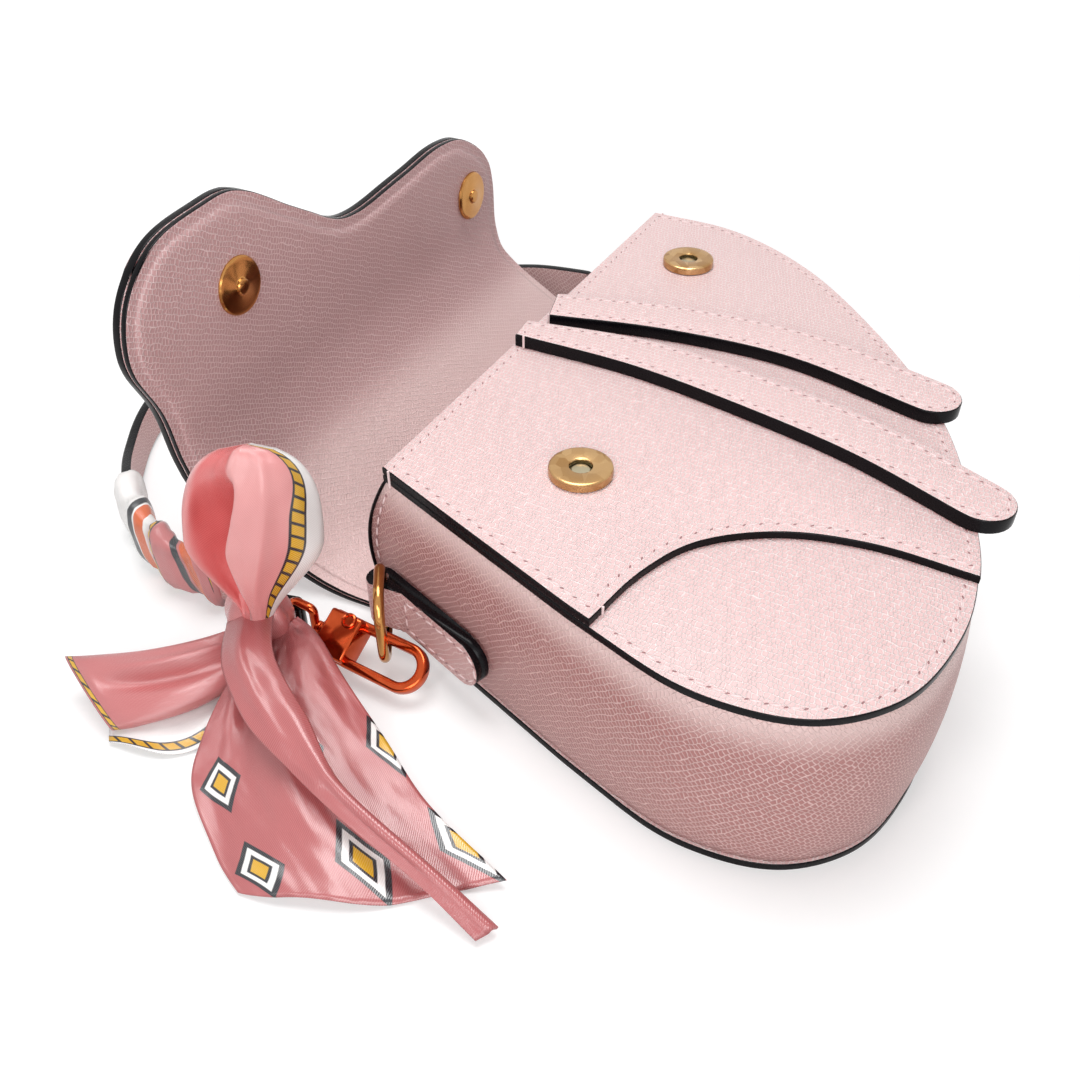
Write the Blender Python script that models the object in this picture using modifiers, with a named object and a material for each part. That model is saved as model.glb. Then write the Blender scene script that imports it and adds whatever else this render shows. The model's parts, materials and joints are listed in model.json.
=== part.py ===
"""Crossbody purse with a two-lobed flap, lying on its back with the flap open.

Metres, +Z up. The origin is on the back panel's resting face, in the middle of the panel's box.
+X runs along the mouth from the near corner to the far corner, and +Y points out of the mouth.
"""
import math

import bmesh
import bpy
from mathutils import Matrix, Vector

# Driving dimensions: the bag's body
BAG_WIDTH = 0.225
BAG_HEIGHT = 0.156
BAG_DEPTH = 0.060
FIT_GAP = 0.0003
BACK_THICKNESS = 0.0022
FRONT_THICKNESS = 0.0022
OVERLAY_THICKNESS = 0.0023
GUSSET_THICKNESS = 0.0020
LINING_THICKNESS = 0.0008
LINING_SLACK = 0.0007
PANEL_LIP = 0.0008
GUSSET_BULGE = 0.0030
MOUTH_BOW = 0.0080
MOUTH_BOW_REACH = 0.025
BILLET_THICKNESS = 0.0042

# The flap: its root spans the depth, and its front lies over the front panel when closed
FLAP_ROOT_START = 0.008
FLAP_ROOT_OUTER = 0.0016
FLAP_ROOT_LINING = 0.0012
FLAP_ROOT_SAG = 0.0070
FLAP_FRONT_OUTER = 0.0020
FLAP_FRONT_LINING = 0.0018
FLAP_CORE_SPACE = 0.0012
FLAP_FOLD_GAP = 0.00025
FLAP_FOLD_MITRE = math.radians(5.0)
CLOSED_RISE = 0.0084
CLOSED_TILT = math.radians(3.0)
ROOT_REST_ANGLE = math.radians(33.3)
FRONT_REST_ANGLE = math.radians(89.5)
FOLD_NEAR_OVERHANG = 0.012
FOLD_FAR_INSET = 0.016

# The magnetic snaps
SNAP_RADIUS = 0.0090
SNAP_HEIGHT = 0.0025
SNAP_WALL = 0.0006
SNAP_HOLE_RADIUS = 0.0032
CORE_RADIUS = 0.0025
CORE_HEIGHT = 0.0012
CORE_FLANGE = 0.0004
SHANK_RADIUS = 0.0014
WASHER_RADIUS = 0.0080
WASHER_THICKNESS = 0.0006
STUD_THICKNESS = 0.0014
STUD_BOSS_RADIUS = 0.0024
STUD_BOSS_HEIGHT = 0.0012
# Each snap: its distance along the mouth from its own corner, and its distance down from the mouth
SNAPS = {"near": (0.0228, 0.050), "far": (-0.0362, 0.0285)}

# The carrying hardware: side tabs, rings and swivel hooks
TAB_LENGTH = 0.048
TAB_WIDTH = 0.016
TAB_THICKNESS = 0.0044
TAB_MID_Z = 0.019
TAB_EYE_DOWN = 0.005
TAB_TAPER = 0.0097
RING_WIRE = 0.0032
RING_HEIGHT = 0.0282
RING_REACH = 0.019
RING_CORNER = 0.008
RING_INNER_CORNER = 0.0027
HOOK_LENGTH = 0.026
HOOK_WIDTH = 0.015
HOOK_WALL = 0.0031
HOOK_PLATE = 0.0040
HOOK_BODY_LENGTH = 0.0115
HOOK_BODY_WIDTH = 0.0140
HOOK_BODY_HEIGHT = 0.0090
HOOK_CORNER = 0.0012
HOOK_FLOOR = 0.0006
HOOK_AXIS_Z = 0.0086
HOOK_ROLL = math.radians(30.0)
GATE_LENGTH = 0.0100
GATE_PIVOT_IN = 0.0027
GATE_HEIGHT = 0.0030
SCREW_RADIUS = 0.0009
SCREW_HEAD_RADIUS = 0.0024
SCREW_TOP_RADIUS = 0.0019
SCREW_HEAD_HEIGHT = 0.0009
SPRING_RADIUS = 0.0009
SPRING_WIRE = 0.0005
SPRING_TURNS = 4
SPRING_STOP = 0.0012
POST_RADIUS = 0.0017
POST_LENGTH = 0.0060
EYE_WIRE = 0.0028
EYE_HEIGHT = 0.0166
EYE_LENGTH = 0.0120
EYE_NECK = 0.0030
EYE_CORNER = 0.0022
EYE_INNER_CORNER = 0.0008

# The carrying strap
STRAP_WIDTH = 0.014
STRAP_THICKNESS = 0.0034
STRAP_END_WIDTH = 0.009
STRAP_END_LENGTH = 0.016
STRAP_END_WALL = 0.0020
STRAP_END_TAPER = 0.0072
LANE_COUNT = 5
LANE_PITCH = 0.016
LANE_START = (0.1015, 0.1087)
LANE_LENGTH = 0.096

# The scarf
WRAP_WALL = 0.0034
WRAP_CLEARANCE = 0.0005
WRAP_START = 0.011
WRAP_END = 0.074
SCARF_THICKNESS = 0.0026

# Shapes drawn by hand. Outlines are shares of the half width and the half height
SADDLE = [
    (-0.689, 1.0), (-0.849, 0.359), (-0.932, 0.013), (-0.996, -0.360), (-0.956, -0.692),
    (-0.818, -0.904), (-0.600, -0.994), (-0.413, -0.991), (-0.222, -0.923), (0.182, -0.679),
    (0.591, -0.231), (0.858, 0.186), (0.991, 0.590), (1.0, 1.0),
]
OVERLAY_CURVE = [
    (-0.932, 0.013), (-0.742, -0.038), (-0.591, -0.141), (-0.467, -0.372), (-0.413, -0.654), (-0.413, -0.991),
]
# Billet straps: middle line in shares of the half width and half height, with the half width in metres
BILLETS = {
    "near": [(0.013, 0.99, 0.0050), (0.044, 0.46, 0.0082), (0.004, -0.026, 0.0092), (-0.072, -0.50, 0.0092),
             (-0.190, -0.92, 0.0088)],
    "far": [(0.177, 0.965, 0.0075), (0.267, 0.487, 0.0084), (0.294, -0.060, 0.0088), (0.200, -0.625, 0.0088)],
}
# Flap front: share of the half width, and the distance from the fold in metres
FLAP_LOBES = [
    (-0.822, 0.026), (-0.884, 0.046), (-0.849, 0.062), (-0.733, 0.074), (-0.556, 0.0775), (-0.431, 0.077),
    (-0.191, 0.061), (-0.004, 0.050), (0.289, 0.0515), (0.520, 0.054), (0.662, 0.051), (0.831, 0.035),
]

# How each side's ring and hook lie: the ring's swing from straight out, the hook's toe-out from the wall,
# and the hook's tip as (distance out from the wall, distance down the wall from the mouth)
SIDES = {
    "near": {"hand": 1, "swing": math.radians(52.1), "toe": math.radians(16.1), "tip": (0.0133, 0.0309)},
    "far": {"hand": -1, "swing": math.radians(36.0), "toe": math.radians(0.3), "tip": (0.0199, 0.0272)},
}

# The strap's way from the near hook to the folded lanes, and from the lanes to the far hook,
# as offsets in plan from the strap's near and far starts, with the height above the floor
STRAP_NEAR = [
    (-0.0010, 0.0107, 0.0116), (-0.0010, 0.0287, 0.0116), (0.0055, 0.0477, 0.0116), (0.0175, 0.0657, 0.0112),
    (0.0365, 0.0837, 0.0078), (0.0625, 0.0987, 0.0075),
]
STRAP_FAR = [(-0.0156, 0.0429, 0.0075), (-0.0036, 0.0254, 0.0078)]

# The scarf's bow, as offsets in plan from the strap's near start, with the height above the floor
KNOT_PLACE = (-0.0141, -0.0158, 0.0165)
KNOT_AXES = (0.0090, 0.0100, 0.0110)
UPPER_LOOP_PLACE = (-0.0179, -0.0216, 0.0532)
UPPER_LOOP_AXES = (0.0185, 0.0090, 0.0275)
UPPER_LOOP_TURN = math.radians(-62.0)
LEFT_LOOP_PLACE = (-0.0433, 0.0036, 0.0112)
LEFT_LOOP_AXES = (0.0270, 0.0190, 0.0105)
LEFT_LOOP_TURN = math.radians(142.0)
WIDE_TAIL = [
    [(-0.0190, -0.0248, 0.0120), (-0.0130, -0.0268, 0.0125), (-0.0070, -0.0283, 0.0120)],
    [(-0.0425, -0.0293, 0.0080), (-0.0290, -0.0408, 0.0120), (-0.0175, -0.0493, 0.0070)],
    [(-0.0645, -0.0393, 0.0040), (-0.0445, -0.0633, 0.0080), (-0.0295, -0.0773, 0.0040)],
    [(-0.0825, -0.0583, 0.0012), (-0.0698, -0.0831, 0.0022), (-0.0468, -0.1161, 0.0012)],
]
NARROW_TAIL = [
    [(-0.0278, -0.0151, 0.0200), (-0.0186, -0.0249, 0.0200)],
    [(-0.0368, -0.0231, 0.0205), (-0.0278, -0.0341, 0.0220)],
    [(-0.0448, -0.0351, 0.0175), (-0.0363, -0.0461, 0.0195)],
    [(-0.0503, -0.0491, 0.0150), (-0.0428, -0.0581, 0.0165)],
    [(-0.0543, -0.0661, 0.0120), (-0.0498, -0.0711, 0.0125)],
    [(-0.0578, -0.0871, 0.0078), (-0.0538, -0.0901, 0.0079)],
    [(-0.0608, -0.1011, 0.0048), (-0.0568, -0.1036, 0.0048)],
    [(-0.0643, -0.1171, 0.0008), (-0.0588, -0.1201, 0.0008)],
]

COLOURS = {
    "leather": ((0.86, 0.66, 0.66, 1.0), 0.55, 0.0),
    "lining": ((0.72, 0.52, 0.53, 1.0), 0.85, 0.0),
    "gold": ((1.0, 0.62, 0.33, 1.0), 0.22, 1.0),
    "steel": ((0.62, 0.62, 0.63, 1.0), 0.35, 1.0),
    "satin": ((0.80, 0.32, 0.33, 1.0), 0.35, 0.0),
}

for old in list(bpy.data.objects):
    bpy.data.objects.remove(old)
PURSE = bpy.data.collections.new("crossbody_purse")
CUTTERS = bpy.data.collections.new("cutters")
for group in (PURSE, CUTTERS):
    bpy.context.scene.collection.children.link(group)


def make_material(name):
    colour, roughness, metallic = COLOURS[name]
    material = bpy.data.materials.new(name)
    material.use_nodes = True
    shader = material.node_tree.nodes["Principled BSDF"]
    shader.inputs["Base Color"].default_value = colour
    shader.inputs["Roughness"].default_value = roughness
    shader.inputs["Metallic"].default_value = metallic
    material.diffuse_color = colour
    return material


MATERIALS = {name: make_material(name) for name in COLOURS}


# Curves and outlines

def smooth_curve(points, steps=4):
    """Points on a smooth curve through the given ones, spaced by chord length."""
    points = [Vector(p) for p in points]
    ends = [2 * points[0] - points[1]] + points + [2 * points[-1] - points[-2]]
    found = []
    for i in range(1, len(ends) - 2):
        p0, p1, p2, p3 = ends[i - 1:i + 3]
        t1 = (p1 - p0).length ** 0.5
        t2 = t1 + (p2 - p1).length ** 0.5
        t3 = t2 + (p3 - p2).length ** 0.5
        for k in range(steps):
            t = t1 + (t2 - t1) * k / steps
            a1 = p0 * ((t1 - t) / t1) + p1 * (t / t1)
            a2 = p1 * ((t2 - t) / (t2 - t1)) + p2 * ((t - t1) / (t2 - t1))
            a3 = p2 * ((t3 - t) / (t3 - t2)) + p3 * ((t - t2) / (t3 - t2))
            b1 = a1 * ((t2 - t) / t2) + a2 * (t / t2)
            b2 = a2 * ((t3 - t) / (t3 - t1)) + a3 * ((t - t1) / (t3 - t1))
            found.append(b1 * ((t2 - t) / (t2 - t1)) + b2 * ((t - t1) / (t2 - t1)))
    return found + [points[-1]]


def on_bag(share):
    return Vector((share[0] * BAG_WIDTH / 2, share[1] * BAG_HEIGHT / 2))


STEPS = 4
OUTLINE = smooth_curve([on_bag(p) for p in SADDLE], STEPS)
CORNERS = {"near": OUTLINE[0], "far": OUTLINE[-1]}
MOUTH_Y = OUTLINE[0].y
SNAP_PLACES = {side: (CORNERS[side].x + along, MOUTH_Y - down) for side, (along, down) in SNAPS.items()}


def tangents(points):
    last = len(points) - 1
    return [(points[min(i + 1, last)] - points[max(i - 1, 0)]).normalized() for i in range(last + 1)]


def outward(points):
    """Unit normals to the left of a path that runs counter-clockwise are inside, so these point right."""
    return [Vector((t.y, -t.x)) for t in tangents(points)]


def offset(points, distance):
    return [p + n * distance for p, n in zip(points, outward(points))]


def arc(centre, radius, start, end, steps):
    """Points on an arc, the last one left out, with angles in degrees."""
    turn = [math.radians(start + (end - start) * k / steps) for k in range(steps)]
    return [Vector((centre[0] + radius * math.cos(a), centre[1] + radius * math.sin(a))) for a in turn]


def circle(centre, radius, steps=20):
    return arc(centre, radius, 0, 360, steps)


def rounded_box(low, high, radius, steps=4):
    """A rectangle with round corners, counter-clockwise."""
    return (arc((high[0] - radius, low[1] + radius), radius, 270, 360, steps)
            + arc((high[0] - radius, high[1] - radius), radius, 0, 90, steps)
            + arc((low[0] + radius, high[1] - radius), radius, 90, 180, steps)
            + arc((low[0] + radius, low[1] + radius), radius, 180, 270, steps))


# Objects

def add(name, data, material, parent=None):
    thing = bpy.data.objects.new(name, data)
    PURSE.objects.link(thing)
    if material:
        data.materials.append(MATERIALS[material])
    thing.parent = parent
    return thing


def empty(name, matrix, parent=None):
    guide = bpy.data.objects.new(name, None)
    PURSE.objects.link(guide)
    guide.parent = parent
    guide.matrix_local = matrix
    return guide


def frame_at(place, across, along):
    """A placing matrix from a point and its local X and Y directions."""
    x, y = Vector(across).normalized(), Vector(along).normalized()
    turn = Matrix((x, y, x.cross(y))).transposed().to_4x4()
    return Matrix.Translation(Vector(place)) @ turn


def plate(name, outlines, low, thickness, material, parent=None):
    """A flat sheet: a filled 2D curve whose further outlines are holes."""
    curve = bpy.data.curves.new(name, "CURVE")
    curve.dimensions = "2D"
    curve.fill_mode = "BOTH"
    curve.extrude = thickness / 2
    for outline in outlines:
        spline = curve.splines.new("POLY")
        spline.points.add(len(outline) - 1)
        for point, place in zip(spline.points, outline):
            point.co = (place[0], place[1], 0, 1)
        spline.use_cyclic_u = True
    thing = add(name, curve, material, parent)
    thing.location.z = low + thickness / 2
    return thing


def tube(name, points, diameter, material, parent=None, closed=False, resolution=2):
    curve = bpy.data.curves.new(name, "CURVE")
    curve.dimensions = "3D"
    curve.bevel_depth = diameter / 2
    curve.bevel_resolution = resolution
    curve.use_fill_caps = not closed
    spline = curve.splines.new("POLY")
    spline.points.add(len(points) - 1)
    for point, place in zip(spline.points, points):
        point.co = (*place, 1)
    spline.use_cyclic_u = closed
    return add(name, curve, material, parent)


def extruded(rows, closed):
    """A surface: the first row of points extruded through the others."""
    bm = bmesh.new()
    verts = [bm.verts.new(p) for p in rows[0]]
    ends = list(zip(verts, verts[1:])) + ([(verts[-1], verts[0])] if closed else [])
    edges = [bm.edges.new(pair) for pair in ends]
    for row in rows[1:]:
        made = bmesh.ops.extrude_edge_only(bm, edges=edges)["geom"]
        fresh = {g for g in made if isinstance(g, bmesh.types.BMVert)}
        edges = [g for g in made if isinstance(g, bmesh.types.BMEdge) and set(g.verts) <= fresh]
        twin = {e.other_vert(v): v for v in fresh for e in v.link_edges if e.other_vert(v) not in fresh}
        verts = [twin[v] for v in verts]
        for vert, place in zip(verts, row):
            vert.co = place
    bm.normal_update()
    return bm


def sheet(name, rows, thickness, towards, material, parent=None, closed=False):
    """A shell with its thickness on one side: towards a direction, or "out" from its middle."""
    bm = extruded(rows, closed)
    if towards == "out":
        middle = sum((v.co for v in bm.verts), Vector()) / len(bm.verts)
        lean = sum(f.normal.dot(f.calc_center_median() - middle) for f in bm.faces)
    else:
        lean = sum(f.normal.dot(Vector(towards)) * f.calc_area() for f in bm.faces)
    if lean < 0:
        bmesh.ops.reverse_faces(bm, faces=bm.faces[:])
    thing = add(name, finished_mesh(name, bm), material, parent)
    solid = thing.modifiers.new("thickness", "SOLIDIFY")
    solid.thickness = thickness
    solid.offset = 1.0
    return thing


def loft(name, rows, material):
    """A closed bar: a section extruded through the others, with both ends filled."""
    bm = extruded(rows, True)
    bmesh.ops.holes_fill(bm, edges=[e for e in bm.edges if e.is_boundary])
    bmesh.ops.recalc_face_normals(bm, faces=bm.faces[:])
    return add(name, finished_mesh(name, bm), material)


def finished_mesh(name, bm):
    mesh = bpy.data.meshes.new(name)
    bm.to_mesh(mesh)
    bm.free()
    mesh.shade_smooth()
    mesh.set_sharp_from_angle(angle=math.radians(40))
    return mesh


def turned(name, profile, material, parent=None, place=(0, 0, 0), ring=False, steps=20):
    """A turned piece: its profile, from the top down its outer side, swept round Z."""
    bm = bmesh.new()
    verts = [bm.verts.new((r, 0, z)) for r, z in profile]
    for pair in zip(verts, verts[1:]):
        bm.edges.new(pair)
    if ring:
        bm.edges.new((verts[-1], verts[0]))
    mesh = bpy.data.meshes.new(name)
    bm.to_mesh(mesh)
    bm.free()
    thing = add(name, mesh, material, parent)
    thing.location = place
    screw = thing.modifiers.new("turn", "SCREW")
    screw.steps = steps
    screw.render_steps = steps
    screw.use_merge_vertices = True
    screw.merge_threshold = 0.00001
    screw.use_smooth_shade = True
    return thing


def to_mesh(thing):
    """The same piece as a plain mesh object, ready to be cut or joined."""
    bpy.context.view_layer.update()
    seen = thing.evaluated_get(bpy.context.evaluated_depsgraph_get())
    mesh = bpy.data.meshes.new_from_object(seen)
    bm = bmesh.new()
    bm.from_mesh(mesh)
    bmesh.ops.remove_doubles(bm, verts=bm.verts[:], dist=0.000001)
    bm.to_mesh(mesh)
    bm.free()
    name, parent, place = thing.name, thing.parent, thing.matrix_world.copy()
    bpy.data.objects.remove(thing)
    solid = add(name, mesh, None, parent)
    solid.matrix_world = place
    return solid


def block(name, low, high, parent=None, material=None):
    mesh = bpy.data.meshes.new(name)
    bm = bmesh.new()
    size = [b - a for a, b in zip(low, high)]
    middle = [(a + b) / 2 for a, b in zip(low, high)]
    bmesh.ops.create_cube(bm, size=1.0, matrix=Matrix.Translation(middle) @ Matrix.Diagonal((*size, 1)))
    bm.to_mesh(mesh)
    bm.free()
    return add(name, mesh, material, parent)


def rod(name, radius, start, end, parent=None, material=None, steps=16):
    """A round bar between two points."""
    start, end = Vector(start), Vector(end)
    turn = Vector((0, 0, 1)).rotation_difference(end - start).to_matrix().to_4x4()
    mesh = bpy.data.meshes.new(name)
    bm = bmesh.new()
    bmesh.ops.create_cone(bm, cap_ends=True, segments=steps, radius1=radius, radius2=radius,
                          depth=(end - start).length, matrix=Matrix.Translation((start + end) / 2) @ turn)
    bm.to_mesh(mesh)
    bm.free()
    return add(name, mesh, material, parent)


def pod(name, axes, place, turn, material):
    """A soft egg shape with the given half axes."""
    mesh = bpy.data.meshes.new(name)
    bm = bmesh.new()
    matrix = Matrix.Translation(place) @ turn.to_4x4() @ Matrix.Diagonal((*axes, 1))
    bmesh.ops.create_uvsphere(bm, u_segments=16, v_segments=10, radius=1.0, matrix=matrix)
    bm.to_mesh(mesh)
    bm.free()
    mesh.shade_smooth()
    return add(name, mesh, material)


def combine(thing, tool, operation):
    """Cut, join or intersect a piece with a tool, which is kept as a hidden wire object."""
    modifier = thing.modifiers.new(operation.lower(), "BOOLEAN")
    modifier.operation = operation
    modifier.object = tool
    PURSE.objects.unlink(tool)
    CUTTERS.objects.link(tool)
    tool.hide_render = True
    tool.display_type = "WIRE"


# The body: back, gusset, front and linings

LINING_LOW = BACK_THICKNESS + FIT_GAP
LINING_TOP = LINING_LOW + LINING_THICKNESS
OVERLAY_LOW = BAG_DEPTH - OVERLAY_THICKNESS
FRONT_TOP = OVERLAY_LOW - FIT_GAP
FRONT_LOW = FRONT_TOP - FRONT_THICKNESS
SOCKET_WASHER_LOW = FRONT_LOW - FIT_GAP - WASHER_THICKNESS
FRONT_LINING_LOW = SOCKET_WASHER_LOW - FIT_GAP - LINING_THICKNESS
ROOT_Y = MOUTH_Y + FLAP_ROOT_START
SHANK_HOLE = SHANK_RADIUS + FIT_GAP
GUSSET_INNER = PANEL_LIP + GUSSET_THICKNESS + LINING_SLACK
INSIDE = GUSSET_INNER + LINING_THICKNESS + FIT_GAP
MOUTH_WAYS = [(OUTLINE[0] - OUTLINE[1]).normalized(), (OUTLINE[-1] - OUTLINE[-2]).normalized()]


def wall_sections(inset, thickness, low, high, levels=5):
    """Sections of the gusset along the outline: up its outer face and down its inner face.

    The wall is bowed at half depth, and pushed out of the mouth near the two corners.
    """
    heights = [low + (high - low) * k / (levels - 1) for k in range(levels)]
    sections = []
    for point, normal in zip(OUTLINE, outward(OUTLINE)):
        corner = min(CORNERS.values(), key=lambda c: (point - c).length)
        reach = (point - corner).length
        push = MOUTH_WAYS[corner is CORNERS["far"]] * MOUTH_BOW * max(0.0, 1 - reach / MOUTH_BOW_REACH)
        section = []
        for z, depth in [(z, inset) for z in heights] + [(z, inset + thickness) for z in heights[::-1]]:
            bow = math.sin(math.pi * (z - BACK_THICKNESS) / (FRONT_LOW - BACK_THICKNESS))
            place = point + normal * (GUSSET_BULGE * bow - depth) + push * bow
            section.append((place.x, place.y, z))
        sections.append(section)
    return sections


def flap_base(inset):
    """The back panel's run past the mouth, up to the flap's fold."""
    return [Vector((CORNERS["far"].x - inset, ROOT_Y - FLAP_FOLD_GAP)),
            Vector((CORNERS["near"].x + inset, ROOT_Y - FLAP_FOLD_GAP))]


def make_body():
    plate("back_panel", [OUTLINE + flap_base(0)], 0, BACK_THICKNESS, "leather")
    inside = offset(OUTLINE, -INSIDE)
    plate("back_lining", [inside + flap_base(INSIDE)], LINING_LOW, LINING_THICKNESS, "lining")
    wall_top = FRONT_LOW - FIT_GAP
    loft("gusset", wall_sections(PANEL_LIP, GUSSET_THICKNESS, LINING_LOW, wall_top), "leather")
    loft("gusset_lining", wall_sections(GUSSET_INNER, LINING_THICKNESS, LINING_LOW, wall_top), "lining")
    holes = [circle(place, SHANK_HOLE, 12) for place in SNAP_PLACES.values()]
    plate("front_panel", [OUTLINE] + holes, FRONT_LOW, FRONT_THICKNESS, "leather")
    plate("front_lining", [inside], FRONT_LINING_LOW, LINING_THICKNESS, "lining")
    first, last = (SADDLE.index(OVERLAY_CURVE[end]) * STEPS for end in (0, -1))
    curve = smooth_curve([on_bag(p) for p in OVERLAY_CURVE], STEPS)
    overlay = OUTLINE[:first] + curve + OUTLINE[last + 1:]
    plate("front_overlay", [overlay] + holes, OVERLAY_LOW, OVERLAY_THICKNESS, "leather")


def billet_outline(line):
    """A strap's outline: one side down, round the tip, and the other side back."""
    spine = smooth_curve([(x * BAG_WIDTH / 2, y * BAG_HEIGHT / 2, half) for x, y, half in line], STEPS)
    middle = [Vector((p.x, p.y)) for p in spine]
    left = [p + n * s.z for p, n, s in zip(middle, outward(middle), spine)]
    right = [p - n * s.z for p, n, s in zip(middle, outward(middle), spine)]
    end, way, half = middle[-1], tangents(middle)[-1], spine[-1].z
    side = Vector((way.y, -way.x))
    turns = [math.radians(90 * k / 4) for k in range(-3, 4)]
    tip = [end + way * half * math.cos(a) - side * half * math.sin(a) for a in turns]
    return left + tip + right[::-1]


def make_billets():
    for side, line in BILLETS.items():
        outline = billet_outline(line)
        plate(f"billet_strap_{side}", [outline], BAG_DEPTH + FIT_GAP, BILLET_THICKNESS, "leather")


# Magnetic snaps

def make_snap(side):
    x, y = SNAP_PLACES[side]
    base = BAG_DEPTH + FIT_GAP
    inner = SNAP_RADIUS - SNAP_WALL
    roof = SNAP_HEIGHT - SNAP_WALL
    turned(f"snap_socket_{side}", [
        (SNAP_HOLE_RADIUS, SNAP_HEIGHT), (SNAP_RADIUS - SNAP_WALL, SNAP_HEIGHT), (SNAP_RADIUS, roof),
        (SNAP_RADIUS, 0), (inner, 0), (inner, roof), (SNAP_HOLE_RADIUS, roof),
    ], "gold", place=(x, y, base), ring=True, steps=24)
    turned(f"snap_magnet_{side}", [
        (SNAP_HOLE_RADIUS + FIT_GAP, roof - FIT_GAP), (inner - FIT_GAP, roof - FIT_GAP),
        (inner - FIT_GAP, CORE_FLANGE + FIT_GAP), (SNAP_HOLE_RADIUS + FIT_GAP, CORE_FLANGE + FIT_GAP),
    ], "steel", place=(x, y, base), ring=True)
    deep = base - SOCKET_WASHER_LOW
    turned(f"snap_core_{side}", [
        (0, CORE_HEIGHT), (CORE_RADIUS, CORE_HEIGHT), (CORE_RADIUS, CORE_FLANGE),
        (inner - FIT_GAP, CORE_FLANGE), (inner - FIT_GAP, 0), (SHANK_RADIUS, 0), (SHANK_RADIUS, -deep),
        (0, -deep),
    ], "steel", place=(x, y, base))
    washer(f"socket_washer_{side}", (x, y, SOCKET_WASHER_LOW))


def washer(name, place, parent=None):
    turned(name, [(SHANK_HOLE, WASHER_THICKNESS), (WASHER_RADIUS, WASHER_THICKNESS), (WASHER_RADIUS, 0),
                  (SHANK_HOLE, 0)], "steel", parent, place, ring=True)


# The flap: two stiff parts that fold at the bag's back edge and along the top

ROOT_Z = LINING_TOP
CLOSED_FOLD = Vector((MOUTH_Y, BAG_DEPTH + CLOSED_RISE))
ROOT_CHORD = (CLOSED_FOLD - Vector((ROOT_Y, ROOT_Z))).length
FOLD_Y = ROOT_Y + ROOT_CHORD * math.cos(ROOT_REST_ANGLE)
FOLD_Z = ROOT_Z + ROOT_CHORD * math.sin(ROOT_REST_ANGLE)
FOLD_NEAR_X = CORNERS["near"].x - FOLD_NEAR_OVERHANG
FOLD_FAR_X = CORNERS["far"].x - FOLD_FAR_INSET


def root_rows(depth, steps=8):
    """Rows across the flap's root, from its base to its fold, at a depth below the inner face."""
    chord = Vector((math.cos(ROOT_REST_ANGLE), math.sin(ROOT_REST_ANGLE)))
    below = Vector((chord.y, -chord.x))
    clear = FLAP_FOLD_GAP / ROOT_CHORD
    rows = []
    for k in range(steps + 1):
        share = clear + (1 - 2 * clear) * k / steps
        slope = 4 * FLAP_ROOT_SAG * (1 - 2 * share) / ROOT_CHORD
        normal = (below - chord * slope).normalized()
        sag = 4 * FLAP_ROOT_SAG * share * (1 - share)
        place = chord * share * ROOT_CHORD + below * sag + normal * depth
        near = CORNERS["near"].x + (FOLD_NEAR_X - CORNERS["near"].x) * share ** 2
        far = CORNERS["far"].x + (FOLD_FAR_X - CORNERS["far"].x) * share ** 2
        rows.append([(near, place.x, place.y), (far, place.x, place.y)])
    return rows


def make_flap():
    base = empty("flap_base_axis", Matrix.Translation((0, ROOT_Y, ROOT_Z)))
    outside = (0, math.sin(ROOT_REST_ANGLE), -math.cos(ROOT_REST_ANGLE))
    sheet("flap_root_lining", root_rows(0), FLAP_ROOT_LINING, outside, "lining", base)
    sheet("flap_root_outer", root_rows(FLAP_ROOT_LINING + FIT_GAP), FLAP_ROOT_OUTER, outside, "leather", base)
    tilt = Matrix.Rotation(FRONT_REST_ANGLE, 4, "X")
    fold = empty("flap_fold_axis", Matrix.Translation((0, FOLD_Y, FOLD_Z)) @ tilt)
    outer_low = -FLAP_FRONT_LINING - FLAP_CORE_SPACE - FLAP_FRONT_OUTER
    studs = {side: (x, (CLOSED_FOLD.x - y) / math.cos(CLOSED_TILT)) for side, (x, y) in SNAP_PLACES.items()}
    holes = [circle(place, SHANK_HOLE, 12) for place in studs.values()]
    plate("flap_front_lining", [flap_outline(FLAP_FOLD_GAP)] + holes, -FLAP_FRONT_LINING, FLAP_FRONT_LINING,
          "leather", fold)
    mitre = math.tan(FLAP_FOLD_MITRE) * (FLAP_FRONT_LINING + FLAP_CORE_SPACE + FLAP_FRONT_OUTER)
    outline = flap_outline(FLAP_FOLD_GAP + mitre)
    plate("flap_front_outer", [outline], outer_low, FLAP_FRONT_OUTER, "leather", fold)
    washer_low = -FLAP_FRONT_LINING - FIT_GAP - WASHER_THICKNESS
    for side, (x, f) in studs.items():
        turned(f"flap_stud_{side}", [
            (0, STUD_THICKNESS + STUD_BOSS_HEIGHT), (STUD_BOSS_RADIUS, STUD_THICKNESS + STUD_BOSS_HEIGHT),
            (STUD_BOSS_RADIUS, STUD_THICKNESS), (SNAP_RADIUS - SNAP_WALL, STUD_THICKNESS),
            (SNAP_RADIUS, STUD_THICKNESS - SNAP_WALL), (SNAP_RADIUS, 0), (SHANK_RADIUS, 0),
            (SHANK_RADIUS, washer_low - FIT_GAP), (0, washer_low - FIT_GAP),
        ], "gold", fold, (x, f, FIT_GAP), steps=24)
        washer(f"stud_washer_{side}", (x, f, washer_low), fold)


def flap_outline(start):
    """The two lobes, from the near end of the fold round to the far end."""
    lobes = [Vector((x * BAG_WIDTH / 2, f)) for x, f in FLAP_LOBES]
    edge = smooth_curve([Vector((FOLD_NEAR_X, start))] + lobes + [Vector((FOLD_FAR_X, start))], STEPS)
    return edge[::-1]


# Side tabs, rings and hooks

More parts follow.
